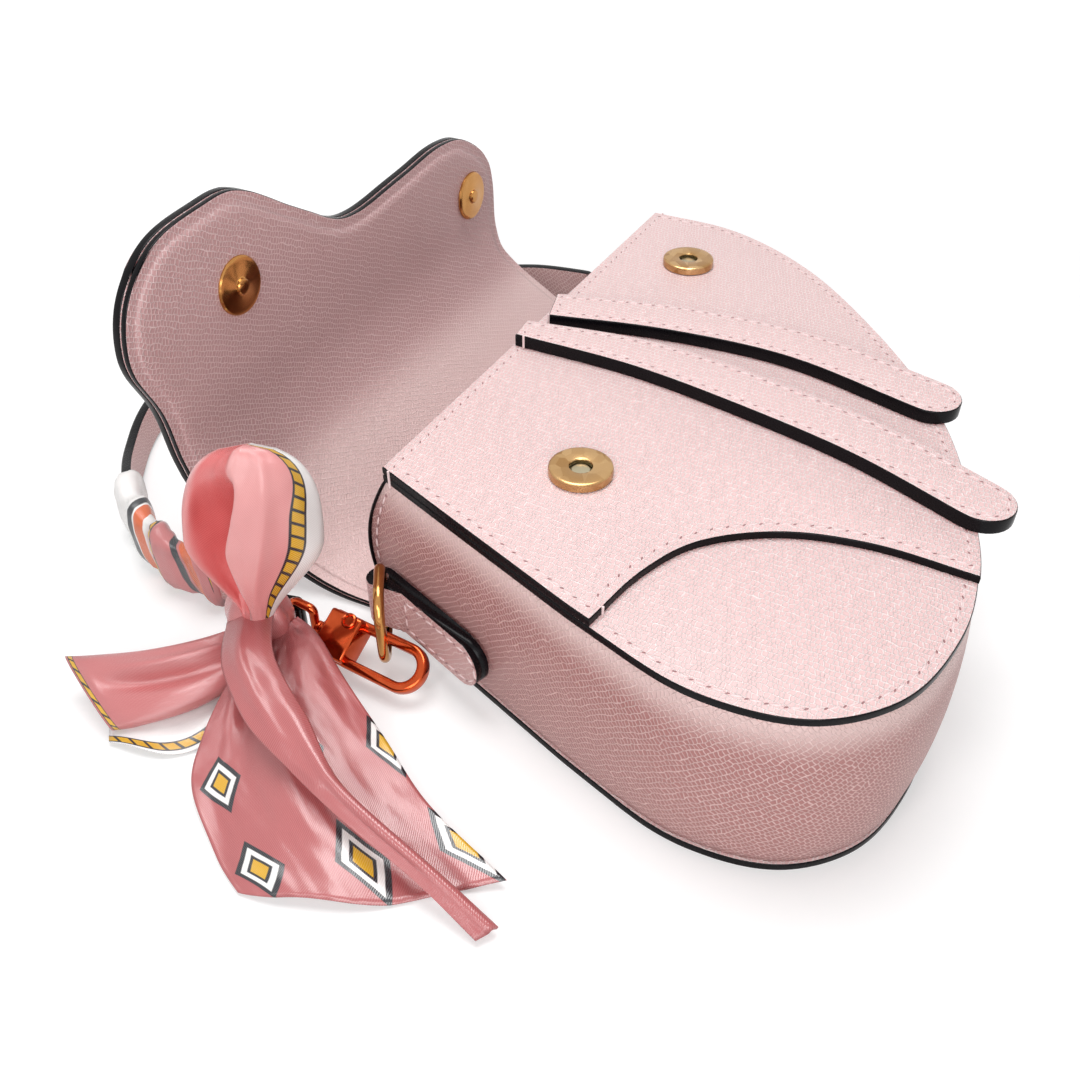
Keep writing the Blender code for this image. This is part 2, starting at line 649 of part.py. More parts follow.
def wall_frame(side):
    """The mouth corner, the way out from the wall and the way down the wall, in plan."""
    line = OUTLINE if side == "near" else OUTLINE[::-1]
    down = (line[STEPS] - line[0]).normalized()
    out = Vector((down.y, -down.x)) * SIDES[side]["hand"]
    return line[0], out, down


TAB_BACK = GUSSET_BULGE + FIT_GAP
EYE_HOLE = RING_WIRE / 2 + FIT_GAP * 2
EYE_OUTER = EYE_HOLE + TAB_THICKNESS / 2
EYE_OUT = TAB_BACK + EYE_OUTER


def make_tab(side):
    corner, out, down = wall_frame(side)
    hand = SIDES[side]["hand"]
    across = Vector((out.x, out.y, 0)) * hand
    holder = empty(f"side_tab_frame_{side}", frame_at((*corner, TAB_MID_Z), across, (*down, 0)))
    outline = ([Vector((TAB_BACK, TAB_LENGTH)), Vector((TAB_BACK, TAB_EYE_DOWN))]
               + arc((EYE_OUT, TAB_EYE_DOWN), EYE_OUTER, 195, 345, 10)
               + [Vector((EYE_OUT + EYE_OUTER, TAB_EYE_DOWN)),
                  Vector((TAB_BACK + TAB_THICKNESS, TAB_EYE_DOWN + TAB_TAPER)),
                  Vector((TAB_BACK + TAB_THICKNESS, TAB_LENGTH))])
    shape = [Vector((p.x * hand, p.y)) for p in outline]
    hole = [Vector((p.x * hand, p.y)) for p in circle((EYE_OUT, TAB_EYE_DOWN), EYE_HOLE, 14)]
    tab = to_mesh(plate(f"side_tab_{side}", [shape, hole], -TAB_WIDTH / 2, TAB_WIDTH, "leather", holder))
    reach = EYE_OUT + EYE_OUTER * 2
    tongue = to_mesh(plate(f"tab_tongue_{side}", [rounded_box(
        (TAB_EYE_DOWN - EYE_OUTER - TAB_WIDTH, -TAB_WIDTH / 2 + FIT_GAP / 3),
        (TAB_LENGTH - FIT_GAP, TAB_WIDTH / 2 - FIT_GAP / 3), TAB_WIDTH / 2 - FIT_GAP, 6)],
        -reach, 2 * reach, None))
    tongue.matrix_world = holder.matrix_world @ frame_at((0, 0, 0), (0, 1, 0), (0, 0, 1))
    combine(tab, tongue, "INTERSECT")


def ring_path(reach, height, corner, inner):
    """A ring with one straight bar on X = 0 and round outer corners, in its own plane."""
    half = height / 2
    return (arc((inner, inner - half), inner, 180, 270, 3)
            + arc((reach - corner, corner - half), corner, 270, 360, 5)
            + arc((reach - corner, half - corner), corner, 0, 90, 5)
            + arc((inner, half - inner), inner, 90, 180, 3))


def make_ring(side):
    corner, out, down = wall_frame(side)
    bar = corner + out * EYE_OUT + down * TAB_EYE_DOWN
    swing = SIDES[side]["swing"]
    away = out * math.cos(swing) + down * math.sin(swing)
    holder = empty(f"d_ring_axis_{side}", frame_at((*bar, TAB_MID_Z), (*away, 0), (0, 0, 1)))
    path = ring_path(RING_REACH - RING_WIRE / 2, RING_HEIGHT - RING_WIRE, RING_CORNER, RING_INNER_CORNER)
    tube(f"d_ring_{side}", [(p.x, p.y, 0) for p in path], RING_WIRE, "gold", holder, closed=True)


BODY_START = HOOK_LENGTH - HOOK_WALL / 2
BODY_END = BODY_START + HOOK_BODY_LENGTH
GATE_X = HOOK_WIDTH / 2 - HOOK_WALL / 2
PIVOT_Y = BODY_START + GATE_PIVOT_IN
GATE_END = PIVOT_Y - GATE_LENGTH
EYE_START = BODY_END + EYE_NECK
EYE_BAR_Y = EYE_START + EYE_LENGTH - EYE_WIRE / 2
STRAP_START = EYE_BAR_Y + STRAP_END_LENGTH + FIT_GAP


def hook_axis(side):
    """The hook's tip on the ring end, and the level direction from there to the swivel eye."""
    corner, out, down = wall_frame(side)
    tip_out, tip_down = SIDES[side]["tip"]
    toe = SIDES[side]["toe"]
    tip = corner + out * tip_out + down * tip_down
    along = out * math.sin(toe) - down * math.cos(toe)
    return Vector((*tip, HOOK_AXIS_Z)), Vector((*along, 0))


def make_hook(side):
    hand = SIDES[side]["hand"]
    tip, along = hook_axis(side)
    level = along.cross(Vector((0, 0, 1)))
    across = level * math.cos(HOOK_ROLL) + Vector((0, 0, math.sin(HOOK_ROLL))) * hand
    turned_frame = frame_at(tip, across, along)
    holder = empty(f"hook_axis_{side}", turned_frame)
    make_hook_body(side, holder, hand)
    make_gate(side, holder, hand)
    level_holder = empty(f"swivel_axis_{side}", frame_at(tip, level, along))
    make_eye(side, level_holder)
    make_strap_end(side, level_holder)


def make_hook_body(side, holder, hand):
    half = HOOK_WIDTH / 2
    inner = half - HOOK_WALL
    root, top = BODY_START + HOOK_WALL / 2, BODY_START - FIT_GAP
    outer = arc((0, half), half, 180, 360, 12)
    outer += [Vector((half, half)), Vector((half, root)), Vector((-half, root))]
    hole = arc((0, half), inner, 180, 360, 10)
    hole += [Vector((inner, half)), Vector((inner, top)), Vector((-inner, top))]
    body = to_mesh(plate(f"hook_body_{side}", [outer, hole], -HOOK_PLATE / 2, HOOK_PLATE, "gold", holder))
    wide, tall = HOOK_BODY_WIDTH / 2, HOOK_BODY_HEIGHT / 2
    shape = rounded_box((-wide, BODY_START), (wide, BODY_END), HOOK_CORNER, 3)
    casing = to_mesh(plate(f"hook_casing_{side}", [shape], -tall, 2 * tall, None, holder))
    combine(body, casing, "UNION")
    slot = GATE_HEIGHT / 2 + FIT_GAP
    edge = HOOK_WALL / 2 + FIT_GAP
    gate_low, gate_high = GATE_X - edge, GATE_X + edge + HOOK_WALL
    low_x, high_x = sorted((hand * gate_low, hand * gate_high))
    gap = block(f"gate_gap_{side}", (low_x, GATE_END - FIT_GAP, -HOOK_PLATE),
                (high_x, BODY_START - FIT_GAP, HOOK_PLATE), holder)
    combine(body, gap, "DIFFERENCE")
    pocket_end = PIVOT_Y + HOOK_WALL / 2 + FIT_GAP * 2
    inner_x, outer_x = sorted((hand * (gate_low - FIT_GAP * 3), hand * gate_high))
    pocket = block(f"gate_pocket_{side}", (inner_x, BODY_START - HOOK_WALL, -slot),
                   (outer_x, pocket_end, slot), holder)
    combine(body, pocket, "DIFFERENCE")
    spring_x = hand * (GATE_X - SCREW_RADIUS)
    bore = rod(f"spring_bore_{side}", SPRING_RADIUS + SPRING_WIRE / 2 + FIT_GAP,
               (spring_x, pocket_end - FIT_GAP, 0), (spring_x, BODY_END - SPRING_STOP, 0), holder)
    combine(body, bore, "DIFFERENCE")
    screw_x = hand * GATE_X
    screw_hole = rod(f"screw_hole_{side}", SCREW_RADIUS + FIT_GAP, (screw_x, PIVOT_Y, -tall + HOOK_FLOOR),
                     (screw_x, PIVOT_Y, tall + FIT_GAP), holder)
    combine(body, screw_hole, "DIFFERENCE")
    post_hole = rod(f"post_hole_{side}", POST_RADIUS + FIT_GAP / 4, (0, BODY_END - POST_LENGTH - FIT_GAP, 0),
                    (0, BODY_END + FIT_GAP, 0), holder)
    combine(body, post_hole, "DIFFERENCE")


def make_gate(side, holder, hand):
    """The gate turns on its screw, which is also the visible fastener on the hook's body."""
    pivot = empty(f"gate_axis_{side}", Matrix.Translation((hand * GATE_X, PIVOT_Y, 0)), holder)
    half = HOOK_WALL / 2
    outline = (arc((0, 0), half, 0, 180, 8) + [Vector((-half, 0)), Vector((-half, -GATE_LENGTH)),
                                               Vector((half, -GATE_LENGTH)), Vector((half, 0))])
    plate(f"hook_gate_{side}", [outline, circle((0, 0), SCREW_RADIUS + FIT_GAP / 3, 14)], -GATE_HEIGHT / 2,
          GATE_HEIGHT, "gold", pivot)
    top = HOOK_BODY_HEIGHT / 2 + FIT_GAP
    foot = -HOOK_BODY_HEIGHT / 2 + HOOK_FLOOR + FIT_GAP
    turned(f"hook_screw_{side}", [
        (0, top + SCREW_HEAD_HEIGHT), (SCREW_TOP_RADIUS, top + SCREW_HEAD_HEIGHT),
        (SCREW_HEAD_RADIUS, top + SCREW_HEAD_HEIGHT / 2), (SCREW_HEAD_RADIUS, top), (SCREW_RADIUS, top),
        (SCREW_RADIUS, foot), (0, foot),
    ], "gold", pivot, steps=14)
    start = HOOK_WALL / 2 + SPRING_WIRE / 2 + FIT_GAP * 2
    end = BODY_END - PIVOT_Y - SPRING_STOP - SPRING_WIRE / 2 - FIT_GAP
    count = SPRING_TURNS * 8
    coil = []
    for k in range(count + 1):
        turn = 2 * math.pi * k / 8
        rise = start + (end - start) * k / count
        coil.append((SPRING_RADIUS * math.cos(turn), rise, SPRING_RADIUS * math.sin(turn)))
    spring = tube(f"hook_spring_{side}", coil, SPRING_WIRE, "steel", pivot, resolution=1)
    spring.location.x = -hand * SCREW_RADIUS


def make_eye(side, holder):
    """The swivel eye: an upright loop on a post that turns in the hook's body."""
    path = ring_path(EYE_LENGTH - EYE_WIRE, EYE_HEIGHT - EYE_WIRE, EYE_CORNER, EYE_INNER_CORNER)
    start = EYE_START + EYE_WIRE / 2
    loop = to_mesh(tube(f"swivel_eye_{side}", [(0, start + p.x, p.y) for p in path],
                        EYE_WIRE, "gold", holder, closed=True))
    post = rod(f"swivel_post_{side}", POST_RADIUS, (0, BODY_END - POST_LENGTH, 0), (0, start, 0), holder)
    combine(loop, post, "UNION")


def make_strap_end(side, holder):
    hole = EYE_WIRE / 2 + FIT_GAP * 2
    wide = hole + STRAP_END_WALL
    half = STRAP_THICKNESS / 2
    tail = EYE_BAR_Y + STRAP_END_LENGTH
    outline = (arc((0, EYE_BAR_Y), wide, 180, 360, 12) + [
        Vector((wide, EYE_BAR_Y)), Vector((half, EYE_BAR_Y + STRAP_END_TAPER)), Vector((half, tail)),
        Vector((-half, tail)), Vector((-half, EYE_BAR_Y + STRAP_END_TAPER))])
    plate(f"strap_end_{side}", [outline, circle((0, EYE_BAR_Y), hole, 14)], -STRAP_END_WIDTH / 2,
          STRAP_END_WIDTH, "leather", holder)


# The strap and the scarf

NEAR_TIP, NEAR_WAY = hook_axis("near")
FAR_TIP, FAR_WAY = hook_axis("far")
NEAR_START = NEAR_TIP + NEAR_WAY * STRAP_START
FAR_START = FAR_TIP + FAR_WAY * STRAP_START


def beside(start, shift):
    """A place from its offset in plan and its height above the floor."""
    return Vector((start.x + shift[0], start.y + shift[1], shift[2]))


def strap_route():
    """The strap's middle line: out of the near hook, through the folded lanes, and into the far hook."""
    floor = STRAP_WIDTH / 2 + FIT_GAP
    lanes = []
    for lane in range(LANE_COUNT):
        y = LANE_START[1] - lane * LANE_PITCH
        ends = (0, LANE_LENGTH) if lane % 2 == 0 else (LANE_LENGTH, 0)
        lanes += [(LANE_START[0] + ends[0] + (ends[1] - ends[0]) * k / 4, y, floor) for k in range(5)]
        if lane < LANE_COUNT - 1:
            bend = math.copysign(LANE_PITCH / 2, ends[1] - ends[0])
            for turn in (math.radians(60), math.radians(120)):
                drop = LANE_PITCH / 2 * (1 - math.cos(turn))
                lanes.append((LANE_START[0] + ends[1] + bend * math.sin(turn), y - drop, floor))
    way = [beside(NEAR_START, p) for p in STRAP_NEAR + lanes] + [beside(FAR_START, p) for p in STRAP_FAR]
    lead = STRAP_WIDTH / 4
    return [NEAR_START, NEAR_START + NEAR_WAY * lead] + way + [FAR_START + FAR_WAY * lead, FAR_START]


def plan_normals(points):
    return [Vector((t.y, -t.x, 0)).normalized() for t in tangents(points)]


def make_strap():
    route = smooth_curve(strap_route(), 2)
    sides = plan_normals(route)
    low, high = -STRAP_WIDTH / 2, STRAP_WIDTH / 2
    rows = [[p - n * STRAP_THICKNESS / 2 + Vector((0, 0, h)) for h in (low, high)] + [
        p + n * STRAP_THICKNESS / 2 + Vector((0, 0, h)) for h in (high, low)] for p, n in zip(route, sides)]
    loft("strap", rows, "leather")
    return route, sides


def make_wrap(route, sides):
    """The scarf wound round the strap: a sleeve from where the strap has risen off the floor, inside the knot."""
    rows, travelled = [], 0.0
    across = STRAP_THICKNESS / 2 + WRAP_CLEARANCE
    tall = STRAP_WIDTH / 2 + WRAP_CLEARANCE
    section = rounded_box((-across, -tall), (across, tall), WRAP_CLEARANCE * 1.5, 2)
    for k in range(1, len(route)):
        travelled += (route[k] - route[k - 1]).length
        if WRAP_START < travelled < WRAP_END:
            rows.append([route[k] + sides[k] * q.x + Vector((0, 0, q.y)) for q in section])
    sheet("scarf_wrap", rows, WRAP_WALL, "out", "satin", closed=True)


def make_scarf():
    for name, axes, place, turn in (
            ("scarf_knot", KNOT_AXES, KNOT_PLACE, 0),
            ("scarf_loop_upper", UPPER_LOOP_AXES, UPPER_LOOP_PLACE, UPPER_LOOP_TURN),
            ("scarf_loop_left", LEFT_LOOP_AXES, LEFT_LOOP_PLACE, LEFT_LOOP_TURN)):
        pod(name, axes, beside(NEAR_START, place), Matrix.Rotation(turn, 3, "Z"), "satin")
    for name, rows in (("scarf_tail_wide", WIDE_TAIL), ("scarf_tail_narrow", NARROW_TAIL)):
        places = [[beside(NEAR_START, p) for p in row] for row in rows]
        sheet(name, places, SCARF_THICKNESS, (0, 0, 1), "satin")


make_body()
make_billets()
for side_name in SIDES:
    make_snap(side_name)
make_flap()
for side_name in SIDES:
    make_tab(side_name)
    make_ring(side_name)
    make_hook(side_name)
strap_line, strap_sides = make_strap()
make_wrap(strap_line, strap_sides)
make_scarf()
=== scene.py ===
# %% [markdown]
# # A crossbody purse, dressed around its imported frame
# The frame gives the purse's solids in metres: +X runs along the mouth, +Y points out of it and +Z is up.
# The bag lies on its back with the flap open. This lesson gives each solid the look of its material:
# cross-grain leather with painted edges and stitches, polished metal, and a printed satin scarf.

# %% Load the frame
import json
import math

import bmesh
import bpy
from mathutils import Matrix, Vector
from mathutils.kdtree import KDTree

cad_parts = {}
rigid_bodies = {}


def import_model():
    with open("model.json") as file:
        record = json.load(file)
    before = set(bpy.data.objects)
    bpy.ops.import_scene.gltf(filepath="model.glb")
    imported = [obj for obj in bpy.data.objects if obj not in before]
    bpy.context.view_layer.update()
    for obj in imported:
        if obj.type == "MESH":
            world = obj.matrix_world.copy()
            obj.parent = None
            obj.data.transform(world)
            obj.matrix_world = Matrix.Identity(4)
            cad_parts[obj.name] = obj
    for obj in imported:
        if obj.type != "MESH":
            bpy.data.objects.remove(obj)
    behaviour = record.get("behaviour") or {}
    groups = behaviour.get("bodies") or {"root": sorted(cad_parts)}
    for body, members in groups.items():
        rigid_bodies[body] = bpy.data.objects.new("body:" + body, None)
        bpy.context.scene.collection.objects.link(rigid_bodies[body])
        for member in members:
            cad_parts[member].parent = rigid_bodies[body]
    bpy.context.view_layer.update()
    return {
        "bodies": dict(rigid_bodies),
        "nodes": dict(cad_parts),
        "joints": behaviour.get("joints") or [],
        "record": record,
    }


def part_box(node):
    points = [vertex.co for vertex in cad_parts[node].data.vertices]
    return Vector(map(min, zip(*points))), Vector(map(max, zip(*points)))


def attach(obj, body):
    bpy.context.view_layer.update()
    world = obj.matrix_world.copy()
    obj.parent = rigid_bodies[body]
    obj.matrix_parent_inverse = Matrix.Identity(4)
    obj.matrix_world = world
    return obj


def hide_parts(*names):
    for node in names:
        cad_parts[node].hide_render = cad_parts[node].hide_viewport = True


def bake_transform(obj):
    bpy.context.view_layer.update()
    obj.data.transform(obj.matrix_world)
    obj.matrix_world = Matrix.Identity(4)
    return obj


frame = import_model()
NODES = frame["nodes"]
JOINTS = {joint["name"]: joint for joint in frame["record"]["behaviour"]["joints"]}
MM = 0.001
SIDES = ("near", "far")
print("nodes:", len(NODES), "joints:", len(JOINTS))

# %% [markdown]
# ## Camera and stage
# The photograph was taken from in front of the near corner, looking down. A camera can be fitted to two
# circles of a known size, here the two snaps, so its place and turn are written as numbers.

# %% Camera
CAMERA_PLACE = (-0.2714, -0.0743, 0.2398)
CAMERA_HEADING = math.radians(-62.06)
CAMERA_DOWN = math.radians(40.4)

lens = bpy.data.cameras.new("camera")
lens.lens = 36.33
lens.sensor_width = 36.0
lens.clip_start = 0.01
camera = bpy.data.objects.new("camera", lens)
bpy.context.scene.collection.objects.link(camera)
camera.location = CAMERA_PLACE
camera.rotation_euler = (math.pi / 2 - CAMERA_DOWN, 0, CAMERA_HEADING)
bpy.context.scene.camera = camera
print("camera at", CAMERA_PLACE)

# %% [markdown]
# ## A short way to write shader maths
# A material is a graph of nodes. Sums on sockets read better as Python, so one small class wraps a socket,
# and each operator adds a Math node behind it. Any other node comes from `make`.

# %% Shader helpers


class Sum:
    """An output socket that takes part in sums."""

    def __init__(self, graph, socket):
        self.graph, self.socket = graph, socket

    def math(self, operation, *values):
        return self.graph.make("ShaderNodeMath", {"operation": operation}, dict(enumerate(values)))

    def __add__(self, other):
        return self.math("ADD", self, other)

    __radd__ = __add__

    def __sub__(self, other):
        return self.math("SUBTRACT", self, other)

    def __rsub__(self, other):
        return self.math("SUBTRACT", other, self)

    def __mul__(self, other):
        return self.math("MULTIPLY", self, other)

    __rmul__ = __mul__

    def __truediv__(self, other):
        return self.math("DIVIDE", self, other)

    def __gt__(self, other):
        return self.math("GREATER_THAN", self, other)

    def __lt__(self, other):
        return self.math("LESS_THAN", self, other)

    def step(self, low, high):
        """0 below low, 1 above high, and smooth between them."""
        settings = {"interpolation_type": "SMOOTHSTEP"}
        return self.graph.make("ShaderNodeMapRange", settings, {"Value": self, 1: low, 2: high})


class Finish:
    """A material's graph, with its Principled shader ready to be linked."""

    def __init__(self, name, **constants):
        self.material = bpy.data.materials.new(name)
        self.material.use_nodes = True
        self.tree = self.material.node_tree
        self.shader = self.tree.nodes["Principled BSDF"]
        for socket, value in constants.items():
            self.shader.inputs[socket.replace("_", " ")].default_value = value

    def make(self, kind, settings, inputs, output=0):
        node = self.tree.nodes.new(kind)
        for key, value in settings.items():
            setattr(node, key, value)
        for key, value in inputs.items():
            if isinstance(value, Sum):
                self.tree.links.new(value.socket, node.inputs[key])
            else:
                node.inputs[key].default_value = value
        return Sum(self, node.outputs[output])

    def surface(self, name="grain"):
        """The piece's own flat map, in metres."""
        return self.make("ShaderNodeUVMap", {"uv_map": name}, {})

    def place(self):
        return self.make("ShaderNodeTexCoord", {}, {}, "Object")

    def split(self, vector):
        axes = ("X", "Y", "Z")
        return [self.make("ShaderNodeSeparateXYZ", {}, {0: vector}, axis) for axis in axes]

    def turn(self, vector, angle=0.0, scale=(1, 1, 1)):
        return self.make("ShaderNodeMapping", {}, {"Vector": vector, "Rotation": (0, 0, angle), "Scale": scale})

    def noise(self, vector, scale, detail=2.0, output=0):
        return self.make("ShaderNodeTexNoise", {}, {"Vector": vector, "Scale": scale, "Detail": detail}, output)

    def mix(self, share, first, second):
        return self.make("ShaderNodeMix", {"data_type": "RGBA"}, {0: share, 6: first, 7: second}, 2)

    def bump(self, height, distance, strength=1.0):
        return self.make("ShaderNodeBump", {}, {"Height": height, "Distance": distance, "Strength": strength})

    def link(self, **sockets):
        for name, value in sockets.items():
            self.tree.links.new(value.socket, self.shader.inputs[name.replace("_", " ")])
        return self.material


def linear(code):
    """A colour written as on the web, as the linear numbers that a shader takes."""
    shares = [int(code[i:i + 2], 16) / 255 for i in (1, 3, 5)]
    return (*[s / 12.92 if s < 0.04045 else ((s + 0.055) / 1.055) ** 2.4 for s in shares], 1.0)


print("shader helpers ready")

# %% [markdown]
# ## Leather, edge paint and thread
# The bag's leather is embossed with a cross grain: rows of small cells between pale ridges. A Brick texture
# whose map is bent by noise gives such rows. It reads the piece's own flat map in metres, so that the grain
# keeps its size and follows a bent wall. The cut edges are painted black.

# %% Leather finishes
GRAIN_CELL = 1.45 * MM
GRAIN_BEND = (1.5, 1.5, 0)
# Painted light: the paler colour that a band of leather turns to where more light falls on it.
PAINTED_LIGHT_LEATHER = linear("#FFE4E0")


def leather(name, ridge, pit, slant, welt=False, painted_light_from=None, painted_light_share=0.8):
    """Cross-grain leather: ridges round rows of pits. A welt is a step inside the edge. The band from
    painted_light_from is painted light, paler where more light falls.
    """
    finish = Finish(name, Specular_IOR_Level=0.35)
    flat = finish.surface()
    net = finish.turn(flat, slant, (1 / GRAIN_CELL, 1 / GRAIN_CELL, 1))
    wander = finish.noise(flat, 260.0, 1.5, "Color")
    bent = finish.make("ShaderNodeVectorMath", {"operation": "MULTIPLY_ADD"}, {0: wander, 1: GRAIN_BEND, 2: net})
    cells = {"Vector": bent, "Scale": 1.0, "Mortar Size": 0.16, "Mortar Smooth": 1.0, "Brick Width": 0.85,
             "Row Height": 1.15}
    ridge_mask = finish.make("ShaderNodeTexBrick", {"offset": 0.45}, cells, "Fac")
    cloud = finish.noise(flat, 35.0, 3.0)
    fleck = finish.noise(flat, 2600.0, 1.0)
    tone = finish.mix(ridge_mask * 0.9 + fleck * 0.1, pit, ridge)
    shade = finish.mix((cloud - 0.5) * 0.5, tone, pit)
    # Painted light: the colour turns paler across a band of the flat map.
    if painted_light_from:
        shade = finish.mix(finish.split(flat)[1].step(*painted_light_from) * painted_light_share, shade, PAINTED_LIGHT_LEATHER)
    height = ridge_mask + fleck * 0.15
    if welt:
        height = height + finish.split(finish.surface("border"))[0].step(3.2 * MM, 4.4 * MM) * 5.0
    relief = finish.bump(height, 0.16 * MM)
    return finish.link(Base_Color=shade, Roughness=0.34 + ridge_mask * 0.14 + fleck * 0.06, Normal=relief)


LEATHER = leather("front_leather", linear("#FFF2F0"), linear("#E9C3C2"), math.radians(90))
# Painted shade and light: the gusset is the front's leather written darker, and paler towards its upper edge where more
# light falls.
SHADED_SIDE_LEATHER = leather("shaded_side_leather", linear("#EFCBC7"), linear("#AC726F"), math.radians(-41),
                       painted_light_from=(42 * MM, 57 * MM))
STRAP_LEATHER = leather("strap_grain", linear("#F8DEDB"), linear("#CC9B99"), math.radians(-41))
LINING = leather("lining_leather", linear("#EBD3D3"), linear("#D2AFB1"), math.radians(-12))
print("leathers:", LEATHER.name, SHADED_SIDE_LEATHER.name, LINING.name)

# %% Edge paint and thread


def edge_paint():
    finish = Finish("black_edge_paint", Specular_IOR_Level=0.14)
    place = finish.place()
    wave = finish.noise(place, 160.0, 2.0)
    speck = finish.noise(place, 1500.0, 1.0)
    colour = finish.mix(wave, linear("#060507"), linear("#0F0D11"))
    return finish.link(Base_Color=colour, Roughness=0.16 + speck * 0.2, Normal=finish.bump(wave, 0.15 * MM))


def thread():
    finish = Finish("tone_on_tone_thread", Sheen_Weight=0.3)
    fibre = finish.noise(finish.place(), 3200.0, 2.0)
    colour = finish.mix(fibre, linear("#EBC9C9"), linear("#FBEAE9"))
    return finish.link(Base_Color=colour, Roughness=0.55 + fibre * 0.2, Normal=finish.bump(fibre, 0.1 * MM))


# Painted shade: a needle hole is a small dark mark that stands for the shade inside the hole.
def needle_hole_shade():
    finish = Finish("needle_hole_shade", Roughness=0.9)
    speck = finish.noise(finish.place(), 2000.0, 1.0)
    return finish.link(Base_Color=finish.mix(speck, linear("#93686A"), linear("#B28889")))


PAINT, THREAD, HOLE_SHADE = edge_paint(), thread(), needle_hole_shade()
print("edges:", PAINT.name, THREAD.name)

# %% [markdown]
# ## Outlines read from the frame
# Flat leather parts are cut to outlines that the solids already have. Reading the rim of a solid's flat
# face keeps the dressed part on its solid. A smooth curve through the rim's points, which keeps real
# corners, takes away the facets of the coarse solid.

# %% Rims and curves
CORNER_TURN = math.radians(28)
EDGE_PITCH = 1.6 * MM


def rim(node, facing):
    """The outer edge of a solid's flat face, as points in order."""
    bm = bmesh.new()
    bm.from_mesh(NODES[node].data)
    bmesh.ops.remove_doubles(bm, verts=bm.verts[:], dist=0.01 * MM)
    facing = Vector(facing).normalized()
    flat = {f for f in bm.faces if f.normal.dot(facing) > 0.99}
    border = {e for e in bm.edges if sum(f in flat for f in e.link_faces) == 1}
    loops = []
    while border:
        edge = border.pop()
        face = next(f for f in edge.link_faces if f in flat)
        first = next(lp.vert for lp in face.loops if lp.edge is edge)
        loop, vert = [first], edge.other_vert(first)
        while vert is not first:
            loop.append(vert)
            edge = next(e for e in vert.link_edges if e in border)
            border.discard(edge)
            vert = edge.other_vert(vert)
        loops.append([v.co.copy() for v in loop])
    bm.free()
    return max(loops, key=lambda loop: sum((b - a).length for a, b in zip(loop, loop[1:])))


def smooth_line(points, pitch=EDGE_PITCH):
    """An open line through the points on a smooth curve, with a point about every pitch."""
    ends = [2 * points[0] - points[1]] + list(points) + [2 * points[-1] - points[-2]]
    line = []
    for p0, p1, p2, p3 in zip(ends, ends[1:], ends[2:], ends[3:]):
        steps = max(1, round((p2 - p1).length / pitch))
        for k in range(steps):
            t = k / steps
            line.append(0.5 * (2 * p1 + (p2 - p0) * t + (2 * p0 - 5 * p1 + 4 * p2 - p3) * t ** 2
                               + (3 * p1 - p0 - 3 * p2 + p3) * t ** 3))
    return line + [points[-1].copy()]


def smooth_rim(points, pitch=EDGE_PITCH):
    """A closed outline smoothed between its corners, which stay sharp."""
    count = len(points)
    corners = []
    for i, point in enumerate(points):
        before, after = point - points[i - 1], points[(i + 1) % count] - point
        if before.angle(after) > CORNER_TURN:
            corners.append(i)
    if not corners:
        return smooth_line(points + points[:1], pitch)[:-1]
    outline = []
    for start, end in zip(corners, corners[1:] + [corners[0] + count]):
        outline += smooth_line([points[k % count] for k in range(start, end + 1)], pitch)[:-1]
    return outline


def inset_line(points, distance, closed=True):
    """The same outline moved to its left in plan."""
    moved = []
    last = len(points) - 1
    for i, point in enumerate(points):
        before = points[i - 1] if closed or i else point
        after = points[(i + 1) % len(points)] if closed or i < last else point
        way = (after - before).normalized()
        moved.append(point + Vector((-way.y, way.x, 0)) * distance)
    return moved


UP = (0, 0, 1)
FRONT_RIM = smooth_rim(rim("front_panel", UP))
print("front outline:", len(FRONT_RIM), "points")

# %% [markdown]
# ## Making a piece
# Each new piece is a bmesh that operators shape. One helper turns it into an object at the origin, gives
# it its materials and its flat map, and puts it on the body that it moves with.

# %% Piece helpers


def piece(name, bm, materials, body=None, flat=None, sharp=40):
    """An object from a finished bmesh, with a flat map in metres from a function of place."""
    if flat:
        layer = bm.loops.layers.uv.new("grain")
        for face in bm.faces:
            for loop in face.loops:
                loop[layer].uv = flat(loop.vert.co)
    mesh = bpy.data.meshes.new(name)
    bm.to_mesh(mesh)
    bm.free()
    mesh.shade_smooth()
    if sharp:
        mesh.set_sharp_from_angle(angle=math.radians(sharp))
    for material in materials:
        mesh.materials.append(material)
    thing = bpy.data.objects.new(name, mesh)
    bpy.context.scene.collection.objects.link(thing)
    if body:
        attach(thing, body)
    return thing


def in_plan(place):
    return place.x, place.y


def cut_panel(outline, low, high, lip):
    """A flat leather part: an outline extruded upwards, with a round lip. Its sides take material 1."""
    bm = bmesh.new()
    face = bm.faces.new([bm.verts.new((p.x, p.y, low)) for p in outline])
    if face.normal.z > 0:
        face.normal_flip()
    made = bmesh.ops.extrude_face_region(bm, geom=[face], use_keep_orig=True)["geom"]
    top = [g for g in made if isinstance(g, bmesh.types.BMVert)]
    bmesh.ops.translate(bm, verts=top, vec=(0, 0, high - low))
    bmesh.ops.recalc_face_normals(bm, faces=bm.faces[:])
    rims = [e for e in bm.edges if all(abs(v.co.z - high) < 0.01 * MM for v in e.verts)]
    bmesh.ops.bevel(bm, geom=rims, offset=lip, affect="EDGES", segments=3, profile=0.5, material=-1)
    for f in bm.faces:
        f.normal_update()
        f.material_index = int(f.normal.z < 0.75 and f.normal.z > -0.9)
    return bm


print("piece helpers ready")

# %% [markdown]
# ## The body
# The front is two layers, an overlay that stops in a curve above the round lobe and the panel under it.
# The two decorative straps lie on top. Each is a cut panel with a soft lip and painted sides.

# %% Front, back and straps
LIP = 0.55 * MM

